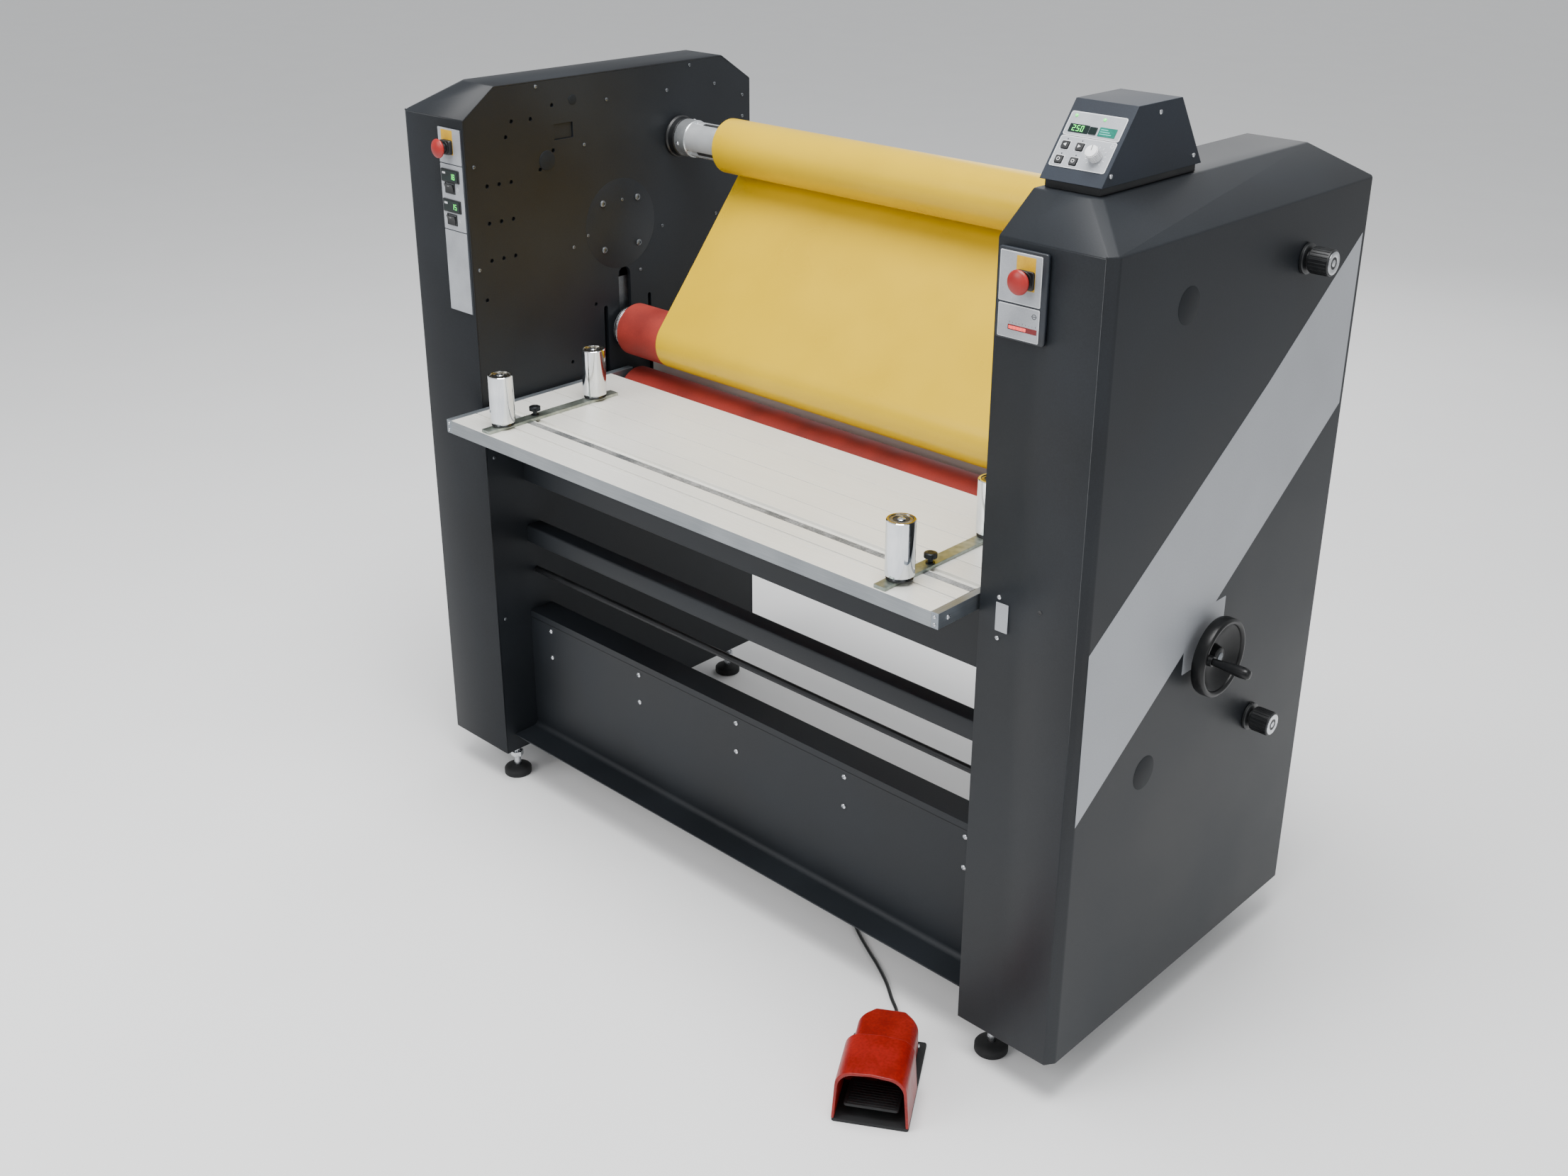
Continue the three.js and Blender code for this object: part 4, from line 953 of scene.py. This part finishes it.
def addGuideRoller(name, place, barTop):
    node = f"{name}_{place}_guide_roller"
    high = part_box(node)[1]
    centre = standing(*middle(node)[:2])
    radius = guideLook["rollerRadius"]
    bottom, top = barTop + 6.7, high.z / mm - 1
    shape(f"{node}_shell", "hardChrome", f"{name}_{place}_roller",
          (turn, centre, (0, 0), [(0, barTop + 0.4), (17.5, barTop + 0.4), (18, barTop + 1), (18, bottom),
           (radius - 1, bottom), (radius, bottom + 1), (radius, top - 1.2), (radius - 1.2, top),
           (radius - 4.4, top), (radius - 4.8, top - 3), (0, top - 3)], 72), replaced=[node], smooth=30)
    shape(f"{node}_bearing", "brass", f"{name}_{place}_roller",
          (turn, centre, (0, 0), [(8, top - 4), (19.8, top - 4), (19.8, top - 1.4), (18.6, top - 0.8),
           (14.5, top - 0.8), (14, top - 2.4), (9.5, top - 2.6), (8, top - 3)], 48, True))
    shape(f"{node}_seal", "blackPlastic", f"{name}_{place}_roller",
          (turn, centre, (0, 0), [(7.4, top - 3), (14.2, top - 3), (14.2, top - 2.1),
           (7.4, top - 1.9)], 40, True))
    shape(f"{node}_pin", "brightScrew", f"{name}_{place}_roller",
          (turn, centre, (0, 0), [(0, top - 4), (7, top - 4), (7, top - 0.8), (6.2, top), (6.2, top + 0.4),
           (4, top + 0.9), (3.2, top + 0.9), (3, top - 0.8), (0, top - 0.9)], 24))
    shape(f"{node}_washer", "blackPlastic", f"{name}_guide",
          (turn, centre, (0, 0), [(17, barTop + 0.05), (23, barTop + 0.05), (23, barTop + 2),
           (17, barTop + 2)], 48, True), edge=0.3, segments=2)


for sideName in sides:
    addGuide(sideName)
print("tables and guides built")


# ---- cross members ----
crossLook = {"sheet": 3, "tubeCorner": 4}


def addCrossMembers():
    for name in ("front", "rear"):
        low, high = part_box(f"{name}_table_beam")
        half = (high.x - low.x) / 2 / mm
        face, back = (low.y, high.y) if name == "front" else (high.y, low.y)
        face, back, bottom, top = (v / mm for v in (face, back, low.z, high.z))
        inward = crossLook["sheet"] if back > face else -crossLook["sheet"]
        wall = crossLook["sheet"]
        outline = [(face, bottom), (back, bottom), (back, bottom + wall), (face + inward, bottom + wall),
                   (face + inward, top - wall), (back, top - wall), (back, top), (face, top)]
        shape(f"{name}_beam_channel", "powderCoat", "frame", (prism, acrossPlace, outline, (-half, half)),
              replaced=[f"{name}_table_beam"], edge=1.4)
    low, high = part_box("cross_tube")
    half = (high.x - low.x) / 2 / mm
    shape("cross_bar_tube", "powderCoat", "frame",
          (slab, acrossPlace, (low.y / mm, high.y / mm), (low.z / mm, high.z / mm), (-half, half),
           crossLook["tubeCorner"]), replaced=["cross_tube"])
    place = axisPlace("cross_rod")
    shape("cross_bar_rod", "blackSteel", "frame",
          (turn, place, (0, 0), [(0, -half), (7, -half), (7, half), (0, half)], 40), replaced=["cross_rod"])
    addLowerPanel()


def addLowerPanel():
    low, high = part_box("lower_panel")
    half = (high.x - low.x) / 2 / mm
    lip, back, bottom, top = (v / mm for v in (low.y, high.y, low.z, high.z))
    face, bend, wall = lip + 65, 12, crossLook["sheet"]

    def fold(radius):
        return [(face - bend + radius * math.cos(a), bottom + bend + wall - radius * math.sin(a))
                for a in [math.pi / 16 * i for i in range(9)]]

    outline = [(face, top), *fold(bend), (lip, bottom + wall), (lip, bottom), *reversed(fold(bend + wall)),
               (face + wall, top - wall), (back, top - wall), (back, top)]
    shape("lower_front_panel", "powderCoat", "frame", (prism, acrossPlace, outline, (-half, half)),
          replaced=["lower_panel"], edge=0.8, segments=2)
    panelFace = facingFront(middleX, face * mm)
    shape("lower_panel_screws", "brightScrew", "frame",
          (buttonHeads, panelFace, [(x, z) for x in (-580, -290, 0, 290, 580) for z in (389, 324)], 5.5, 3.2))
    shape("lower_panel_seam", "blackSteel", "frame", (slab, panelFace, (-half, half), (402, 403), (0.05, 0.5)))


addCrossMembers()
print("cross members built")


# ---- readouts and icons ----
figureBars = {"0": "abcdef", "1": "bc", "2": "abged", "3": "abgcd", "4": "fgbc", "5": "afgcd", "6": "afgedc",
            "7": "abc", "8": "abcdefg", "9": "abcdfg"}


def digits(bm, place, text, left, low, height, depth):  # seven-bar numerals
    width, bar, step = height * 0.52, height * 0.11, height * 0.78
    for i, figure in enumerate(text):
        x0, x1 = left + step * i, left + step * i + width
        z0, z1, z2 = low, low + height / 2, low + height
        bars = {"a": ((x0, x1), (z2 - bar, z2)), "g": ((x0, x1), (z1 - bar / 2, z1 + bar / 2)),
                "d": ((x0, x1), (z0, z0 + bar)), "f": ((x0, x0 + bar), (z1, z2)), "b": ((x1 - bar, x1), (z1, z2)),
                "e": ((x0, x0 + bar), (z0, z1)), "c": ((x1 - bar, x1), (z0, z1))}
        for one in figureBars[figure]:
            slab(bm, place, *bars[one], depth)


def ringMark(bm, place, x, y, radius, width, depth):  # a thin printed circle
    turn(bm, place, (x, y), [(radius - width, depth[0]), (radius, depth[0]), (radius, depth[1]),
                             (radius - width, depth[1])], 32, closed=True)


# ---- control box ----
boxLook = {"front": -306, "topFront": -224, "topBack": -106, "back": -35, "shoulder": 1576, "plinthTop": 1574,
           "plinthInset": 6, "edge": 2.2}
keyBoxes = {name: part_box(f"{name}_key") for name in ("upper_left", "upper_right", "lower_left", "lower_right")}
faceOut = -Vector(joints["upper_left_key_push"]["axis"]).normalized()
faceUp = faceOut.cross(Vector((1, 0, 0)))
keyMiddle = (keyBoxes["lower_left"][0] + keyBoxes["lower_left"][1]) / 2
faceOrigin = keyMiddle - faceUp * 33 * mm - faceOut * 2.8 * mm
controlFace = placed(Vector((middleX, faceOrigin.y, faceOrigin.z)), (1, 0, 0), faceUp, faceOut)


def addControlBox():
    low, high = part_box("control_housing")
    left, right, floor, top = frontExtent("control_housing")
    front, back, inset = boxLook["front"], boxLook["back"], boxLook["plinthInset"]
    outline = [(front, boxLook["shoulder"] - 1), (back, boxLook["shoulder"] - 1), (back, boxLook["shoulder"]),
               (boxLook["topBack"], top), (boxLook["topFront"], top), (front, boxLook["shoulder"])]
    shape("control_hood", "housingCoat", "frame", (prism, acrossPlace, outline, (left, right)),
          replaced=["control_housing"], edge=boxLook["edge"], segments=4)
    shape("control_plinth", "blackSteel", "frame",
          (slab, acrossPlace, (front + inset, back - inset), (floor, boxLook["plinthTop"] + 1.2),
           (left + inset, right - inset), 0), edge=0.8)
    screws = bmesh.new()
    for sign, x in ((1, high.x), (-1, low.x)):
        place = sidePlace(x, sign)
        buttonHeads(screws, place, [(-285, 1590), (-60, 1590), (-165, 1668)], 4, 2.2)
    makePiece("control_box_screws", screws, "brightScrew", "frame")
    addFascia()


fasciaLook = {"plates": [(22, 72.6), (73.6, 113)], "corner": 3.5, "border": 1.4}


def addFascia():
    left, right = frontExtent("control_fascia")[:2]
    border, foil = bmesh.new(), bmesh.new()
    for bottom, top in fasciaLook["plates"]:
        slab(border, controlFace, (left, right), (bottom, top), (0.05, 1.0), fasciaLook["corner"])
        rim = fasciaLook["border"]
        slab(foil, controlFace, (left + rim, right - rim), (bottom + rim, top - rim), (0.9, 1.25),
             fasciaLook["corner"] - 0.8)
    edging = makePiece("fascia_border", border, "foilBorder", "frame")
    plate = makePiece("fascia_foil", foil, "panelFoil", "frame", ["control_fascia"])
    cutAway(edging, keyWindows())
    cutAway(plate, keyWindows())
    shape("fascia_lamps", "greenLight", "frame",
          *[(turn, controlFace, (x, s), [(0, 1.2), (2.6, 1.2), (2.3, 2.6), (1.2, 3.2), (0, 3.4)], 20)
            for x, s in ((668, 106), (718, 105))])
    shape("fascia_window", "smokedWindow", "frame",
          (slab, controlFace, (664, 699), (78.5, 92.5), (1.2, 1.9), 1.2),
          (slab, controlFace, (700, 713), (79, 91), (1.2, 2.6), 1), edge=0.3, segments=2)
    shape("fascia_digits", "greenLight", "frame", (digits, controlFace, "250", 670, 81, 9.4, (1.85, 2.05)))
    shape("fascia_screen", "tealGlass", "frame", (slab, controlFace, (716, 746), (78, 93), (1.2, 1.8), 1),
          edge=0.3, segments=2)
    shape("fascia_screen_lines", "tealLight", "frame",
          *[(slab, controlFace, (719, 739 - 4 * row), (81.4 + 3.6 * row, 82.6 + 3.6 * row), (1.75, 1.9))
            for row in range(3)])
    addFasciaMarks()


def keyWindows():
    windows = bmesh.new()
    for name in keyBoxes:
        x, s = keyPlace(name)
        slab(windows, controlFace, (x - 6.6, x + 6.6), (s - 6.6, s + 6.6), (-1, 4), 1)
    return windows


def keyPlace(name):
    low, high = keyBoxes[name]
    local = controlFace.inverted() @ ((low + high) / 2)
    return local.x / mm, local.y / mm


def addFasciaMarks():
    marks = bmesh.new()
    for name in keyBoxes:
        x, s = keyPlace(name)
        for across, up in (((x - 7.6, x + 7.6), (s + 7, s + 7.6)), ((x - 7.6, x + 7.6), (s - 7.6, s - 7)),
                           ((x - 7.6, x - 7), (s - 7, s + 7)), ((x + 7, x + 7.6), (s - 7, s + 7))):
            slab(marks, controlFace, across, up, (1.2, 1.4))
    ringMark(marks, controlFace, 749, 66, 3, 0.7, (1.2, 1.4))
    for i in range(11):
        angle = math.radians(225 - 27 * i)
        x, s = 730 + 15.5 * math.cos(angle), 46 + 15.5 * math.sin(angle)
        turned = controlFace @ Matrix.Translation((x * mm, s * mm, 0)) @ Matrix.Rotation(angle, 4, "Z")
        slab(marks, turned, (-1.6, 1.6), (-0.35, 0.35), (1.2, 1.4))
    makePiece("fascia_marks", marks, "whiteNylon", "frame")
    dots = bmesh.new()
    for name in keyBoxes:
        x, s = keyPlace(name)
        turn(dots, controlFace, (x, s + 10.2), [(0, 1.2), (1.1, 1.2), (1.0, 1.6), (0, 1.8)], 12)
    makePiece("fascia_key_dots", dots, "bezelPlastic", "frame")


def addKey(name):
    node = f"{name}_key"
    x, s = keyPlace(name)
    body = joints[f"{name}_key_push"]["child"]
    shape(f"{node}_cap", "blackPlastic", body,
          (slab, controlFace, (x - 6, x + 6), (s - 6, s + 6), (1.3, 4.0), 1.4), replaced=[node], edge=0.6)
    mark = bmesh.new()
    if name.startswith("upper"):
        way = 1 if "right" in name else -1
        prism(mark, controlFace, [(x - 2.4 * way, s - 2.6), (x + 2.6 * way, s), (x - 2.4 * way, s + 2.6)],
              (3.95, 4.25))
    else:
        ringMark(mark, controlFace, x, s, 2.8, 0.8, (3.95, 4.25))
    makePiece(f"{node}_mark", mark, "whiteNylon", body)


knobLook = {"centre": (730, 46), "radius": 10.4, "fluteDepth": 0.5, "flutes": 24}


def addSpeedKnob():
    body = joints["speed_knob_turn"]["child"]
    centre = knobLook["centre"]
    outline = fluted(knobLook["radius"], knobLook["fluteDepth"], knobLook["flutes"], centre)
    shape("speed_knob_cap", "whiteNylon", body, (prism, controlFace, outline, (3, 17.6)),
          (turn, controlFace, centre, [(0, 1.9), (10.8, 1.9), (10.8, 3.1), (0, 3.1)], 48),
          (turn, controlFace, centre, [(0, 17.5), (9.9, 17.5), (9.2, 19.4), (7.5, 19.8), (0, 19.4)], 48),
          replaced=["speed_knob"], smooth=50)
    shape("speed_knob_line", "blackPlastic", body, (slab, controlFace, (729.5, 730.5), (47, 55), (19.3, 19.95)))


addControlBox()
for keyName in keyBoxes:
    addKey(keyName)
addSpeedKnob()
print("control box built")


# ---- front panels ----
def addStop(side):
    body = joints[f"{side}_stop_push"]["child"]
    x, z = frontSpot(f"{side}_stop_head")
    shape(f"{side}_stop_shank", "blackPlastic", body,
          (turn, frontFace, (x, z), [(0, 6.2), (9, 6.2), (9, 22), (0, 22)], 40), replaced=[f"{side}_stop_stem"],
          edge=0.4, segments=2)
    dome = [(19 * math.cos(a), 27 + 8 * math.sin(a)) for a in [math.pi / 2 * i / 9 for i in range(10)]]
    shape(f"{side}_stop_mushroom", "redNylon", joints[f"{side}_stop_twist"]["child"],
          (turn, frontFace, (x, z), [(0, 22.5), (13, 22.5), (17.4, 24.6), *dome[:-1], (0, 35)], 72),
          replaced=[f"{side}_stop_head"], smooth=50)


def boreForStem(pieces, x, z):  # room for a stop's stem as it is pushed in
    for piece in pieces:
        bore = bmesh.new()
        turn(bore, frontFace, (x, z), [(0, 2.1), (9.3, 2.1), (9.3, 16), (0, 16)], 40)
        cutAway(piece, bore)


def addCollar(side, x, z, thick):
    collar = shape(f"{side}_stop_collar", "blackPlastic", "frame",
          (slab, frontFace, (x - 15.5, x + 15.5), (z - 14, z + 14), (thick - 0.5, 12), 4), edge=0.9)
    shape(f"{side}_stop_ring", "blackPlastic", "frame",
          (turn, frontFace, (x, z), [(9.4, 11.5), (13.5, 11.5), (13.5, 14), (9.4, 14)], 40, True), edge=0.5,
          segments=2)
    return collar


def addRightPanel():
    left, right, bottom, top = frontExtent("right_front_panel")
    x, z = frontSpot("right_stop_head")
    back = shape("right_panel_bezel", "bezelPlastic", "frame",
          (slab, frontFace, (left, right), (bottom, top), (0.3, 6.6), 5), replaced=["right_front_panel"],
          edge=1.8, segments=4)
    border, foil = bmesh.new(), bmesh.new()
    plates = (((left + 4, left + 79), (bottom + 57, top - 5)), ((left + 5, left + 79), (bottom + 3, bottom + 54)))
    for across, up in plates:
        slab(border, frontFace, across, up, (6.2, 7.3), 2)
        slab(foil, frontFace, (across[0] + 1.3, across[1] - 1.3), (up[0] + 1.3, up[1] - 1.3), (7, 7.7), 1.2)
    edging = makePiece("right_panel_border", border, "foilBorder", "frame")
    face = makePiece("right_panel_foil", foil, "panelFoil", "frame")
    label = shape("right_stop_tag", "yellowTag", "frame",
          (slab, frontFace, (x - 18, x + 16), (z - 16, z + 34), (7.4, 8.0), 1))
    boreForStem([back, edging, face, label, addCollar("right", x, z, 8)], x, z)
    shape("right_panel_bar", "redWindow", "frame", (slab, frontFace, (680, 732), (1371, 1379), (7.4, 8.2), 0.8),
          edge=0.3, segments=2)
    shape("right_panel_bar_light", "redLight", "frame",
          *[(slab, frontFace, (682 + i * 2.6, 683.9 + i * 2.6), (1372.6, 1377.4), (8.1, 8.35)) for i in range(12)])
    marks = bmesh.new()
    for i in range(9):
        tall = 2.6 if i % 4 == 0 else 1.6
        slab(marks, frontFace, (682.6 + i * 5.8, 683.2 + i * 5.8), (1381.4, 1381.4 + tall), (7.6, 7.8))
    ringMark(marks, frontFace, 726, 1398, 4, 0.9, (7.6, 7.85))
    slab(marks, frontFace, (721.4, 730.6), (1397.6, 1398.4), (7.6, 7.85))
    makePiece("right_panel_marks", marks, "blackPlastic", "frame")
    shape("right_label_plate", "stripeVinyl", "frame", (slab, frontFace, (683, 707), (872, 922), (0.1, 1.1), 1),
          edge=0.3, segments=2)
    shape("right_label_screws", "brightScrew", "frame", (buttonHeads, frontFace, [(688, 931), (688, 859)], 4, 2))
    shape("right_front_plug", "blackPlastic", "frame",
          (turn, frontFace, (766, 930), [(0, 0.3), (3, 0.3), (3.6, 0.6), (4.2, 0.1), (0, -1)], 24))


def addLeftPanel():
    left, right, bottom, top = frontExtent("left_front_panel")
    x, z = frontSpot("left_stop_head")
    shape("left_panel_backing", "bezelPlastic", "frame",
          (slab, frontFace, (left, right), (bottom, top), (0.3, 1.9), 1), replaced=["left_front_panel"])
    face = shape("left_panel_foil", "panelFoil", "frame",
          *[(slab, frontFace, (left + 0.6, right - 4.5), up, (1.7, 3.0), 0.8)
            for up in ((bottom + 0.6, 1281), (1283, 1414), (1416, top - 0.6))])
    label = shape("left_stop_tag", "yellowTag", "frame",
          (slab, frontFace, (x - 20, x + 16), (z - 15, z + 33), (2.9, 3.4), 1))
    boreForStem([face, label, addCollar("left", x, z, 3)], x, z)
    glass, frames, figures, labels = bmesh.new(), bmesh.new(), bmesh.new(), bmesh.new()
    for low0, text in ((1380, "18"), (1320, "15")):
        slab(frames, frontFace, (-724, -667), (low0 - 1, low0 + 25), (2.8, 5.4), 2)
        slab(glass, frontFace, (-721, -670), (low0 + 1.5, low0 + 22.5), (5.2, 6.4), 1)
        digits(figures, frontFace, text, -693, low0 + 6, 11, (6.3, 6.6))
        slab(labels, frontFace, (-718, -708), (low0 + 15, low0 + 19), (6.3, 6.5))
    makePiece("controller_frames", frames, "blackPlastic", "frame", edge=0.5, segments=2)
    makePiece("controller_glass", glass, "smokedWindow", "frame", edge=0.3, segments=2)
    makePiece("controller_digits", figures, "greenLight", "frame")
    makePiece("controller_labels", labels, "foilBorder", "frame")
    marks = bmesh.new()
    for z0 in (1367, 1304):
        ringMark(marks, frontFace, -675, z0, 3, 0.7, (2.95, 3.15))
        slab(marks, frontFace, (-675.4, -674.6), (z0, z0 + 4.4), (2.95, 3.15))
    makePiece("left_panel_marks", marks, "foilBorder", "frame")


def addRocker(name):
    node = f"{name}_rocker_switch"
    low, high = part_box(node)
    x, z = frontSpot(node)
    rim = shape(f"{name}_rocker_frame", "blackPlastic", "frame",
          (prism, frontFace, roundedOutline((x - 16, x + 16), (z - 11.5, z + 11.5), 1.5), (2.8, 4.7)), edge=0.5,
          segments=2)
    opening = bmesh.new()
    slab(opening, frontFace, (x - 13.3, x + 13.3), (z - 9.6, z + 9.6), (2, 6))
    cutAway(rim, opening)
    body = joints[f"{name}_rocker_tilt"]["child"]
    face = placed(Vector((middleX + x * mm, 0, z * mm)), (0, -1, 0), (0, 0, 1), (1, 0, 0))
    front, back = -low.y / mm, -high.y / mm
    outline = [(back, -8.5), (front - 2.4, -8.5), (front - 2.9, -0.2), (front, 8.5), (back, 8.5)]
    shape(f"{name}_rocker_cap", "blackPlastic", body, (prism, face, outline, (-12.8, 12.8)), replaced=[node],
          edge=0.5, segments=3)
    shape(f"{name}_rocker_mark", "whiteNylon", body,
          (slab, face, (front - 1.6, front - 0.9), (4.4, 4.9), (-2.4, 2.4)))


for sideName in sides:
    addStop(sideName)
addRightPanel()
addLeftPanel()
addRocker("upper")
addRocker("lower")
print("front panels built")


# ---- foot switch ----
hoodLook = {"width": 135, "length": 225, "base": 6, "hood": 103, "height": 112, "wall": 5, "rearWidth": 110,
            "rearTop": 70, "tailCut": 28}


def archOutline(inset, foot):  # upright sides, round shoulders and a slightly crowned top
    half, top = hoodLook["width"] / 2 - inset, hoodLook["height"] - inset
    points = []
    shoulder = 30
    for i in range(9):
        angle = math.pi / 2 * i / 8
        points.append((half - 5 - shoulder + shoulder * math.cos(angle),
                       top - 3 - shoulder + shoulder * math.sin(angle)))
    crown = (0, top)
    rightSide = [(half, foot), (half - 2, foot + 30), *points]
    return [*rightSide, crown, *((-x, z) for x, z in reversed(rightSide))]


def addFootSwitch():
    upright = placed(pedalPlace.translation, pedalAcross, (0, 0, 1), -pedalBack)
    foot = hoodLook["base"] + 0.3
    shell = shape("pedal_hood", "hammerEnamel", "frame",
          (prism, upright, archOutline(0, foot), (-hoodLook["hood"], 0)), replaced=["foot_switch_hood"],
          smooth=40)
    mouth = bmesh.new()
    prism(mouth, upright, archOutline(hoodLook["wall"], foot - 2), (hoodLook["wall"] - hoodLook["hood"], 5))
    cutAway(shell, mouth)
    soften = shell.modifiers.new("edges", "BEVEL")
    soften.width = 1.4 * mm
    soften.segments = 3
    soften.limit_method = "ANGLE"
    soften.angle_limit = math.radians(50)
    rear = bmesh.new()
    half, top = hoodLook["rearWidth"] / 2, hoodLook["rearTop"]
    corner = 16
    rightSide = [(half, foot)] + [
        (half - corner + corner * math.cos(a), top - corner + corner * math.sin(a))
        for a in [math.pi / 2 * i / 6 for i in range(7)]
    ]
    prism(rear, upright, [*rightSide, *((-x, z) for x, z in reversed(rightSide))],
          (-hoodLook["length"], 1 - hoodLook["hood"]))
    for sign in (-1, 1):  # the tail's rear corners are cut off
        bmesh.ops.recalc_face_normals(rear, faces=rear.faces[:])
        trim(rear, pedalSpot(sign * half, hoodLook["length"] - hoodLook["tailCut"], 0),
             pedalAcross * sign + pedalBack)
    tail = makePiece("pedal_tail", rear, "hammerEnamel", "frame", edge=5, segments=5)
    plate = shape("pedal_base", "padRubber", "frame",
          (slab, pedalPlace, (-hoodLook["width"] / 2, hoodLook["width"] / 2), (0, hoodLook["length"]),
           (0, hoodLook["base"]), 5), replaced=["foot_switch_base"], edge=1)
    rearFace = placed(pedalSpot(0, hoodLook["length"], 0), -pedalAcross, (0, 0, 1), pedalBack)
    relief = shape("pedal_gland", "pvcJacket", "frame",
          (turn, rearFace, (0, pedalLook["glandHeight"]), [(0, -1), (9, -1), (9, 3), (7.4, 4), (7, 6), (6.2, 7),
           (6.4, 9), (5.6, 10), (5.2, 13.5), (3.4, 14), (0, 14)], 32), smooth=50)
    screws = bmesh.new()
    for sign in (-1, 1):
        place = placed(pedalPlace.translation + pedalAcross * sign * (hoodLook["rearWidth"] / 2) * mm,
                       pedalBack, (0, 0, 1), pedalAcross * sign)
        buttonHeads(screws, place, [(135, 16), (200, 16)], 4, 2.2)
    fixings = makePiece("pedal_screws", screws, "brightScrew", "frame")
    return [shell, tail, plate, relief, fixings]


def addTreadle():
    hinge = joints["treadle_press"]
    origin = Vector(hinge["pos_m"])
    local = pedalPlace.inverted() @ origin
    lift = math.radians(10)
    along = (-pedalBack * math.cos(lift) + Vector((0, 0, 1)) * math.sin(lift)).normalized()
    up = pedalAcross.cross(-along).normalized()
    up = up if up.z > 0 else -up
    centre = pedalPlace @ Vector((0, local.y, local.z))
    place = placed(centre, pedalAcross, along, up)
    bm = bmesh.new()
    slab(bm, place, (-48, 48), (0, 84), (-3, 2), 6)
    for i in range(9):
        slab(bm, place, (-42, 42), (12 + 8 * i, 15.5 + 8 * i), (1.5, 3))
    treadle = makePiece("pedal_treadle", bm, "padRubber", hinge["child"], ["foot_treadle"], edge=0.7, segments=2)
    return treadle


pedalPieces = [*addFootSwitch(), addTreadle()]


def addPlateGland():
    place = sidePlace(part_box("right_cover")[0].x, -1)
    shape("plate_cable_gland", "blackPlastic", "frame",
          (turn, place, (-60, 150), [(0, -1), (14, -1), (14, 2), (11, 3), (11, 8), (9.4, 10), (8, 13), (3.9, 14),
           (0, 14)], 32), edge=0.4, segments=2)


addPlateGland()
print("foot switch built")


# ---- drive parts inside the cabinets, shown as they are ----
for nodeName, finishName in {"left_bearing_block": "dullSteel", "right_bearing_block": "dullSteel",
                             "left_lift_screw": "turnedSteel", "right_lift_screw": "turnedSteel",
                             "drive_motor": "blackSteel"}.items():
    dressNode(nodeName, finishName)


# ---- floor and light ----
studioLook = {
    "floor": 60, "aim": (0, 0, 0.9), "world": 0.75,
    "lamps": [("key", (-1.4, -4.4, 3.4), 2.6, 110), ("fill", (4.6, -1.6, 2.6), 3.0, 35),
              ("top", (0.5, -0.9, 4.8), 2.6, 330), ("rear", (-1.5, 4.2, 3.0), 3.0, 45)],
}


def addStudio():
    material, tree, shader, coords = startMaterial("paintedFloor", Roughness=0.75)
    mottle = addNode(tree, "TexNoise", {"Scale": 3.0, "Detail": 2.0}, {"Vector": coords})
    mix = addNode(tree, "Mix", {"data_type": "RGBA", 6: linear("#eeeeee"), 7: linear("#f2f2f2")},
                  {0: mottle.outputs["Fac"]})
    tree.links.new(mix.outputs[2], shader.inputs["Base Color"])
    bm = bmesh.new()
    bmesh.ops.create_grid(bm, x_segments=1, y_segments=1, size=studioLook["floor"])
    mesh = bpy.data.meshes.new("floor")
    bm.to_mesh(mesh)
    bm.free()
    mesh.materials.append(material)
    floor = linked("floor", mesh)
    for name, place, size, power in studioLook["lamps"]:
        light = bpy.data.lights.new(name, "AREA")
        light.size = size
        light.energy = power
        lamp = linked(name, light)
        lamp.location = place
        lamp.rotation_euler = (Vector(studioLook["aim"]) - Vector(place)).to_track_quat("-Z", "Y").to_euler()
    world = bpy.data.worlds.new("studio")
    scene.world = world
    world.use_nodes = True
    sky = world.node_tree.nodes["Background"].inputs
    sky["Color"].default_value = linear("#f2f4f6")
    sky["Strength"].default_value = studioLook["world"]


addStudio()
print("studio set")
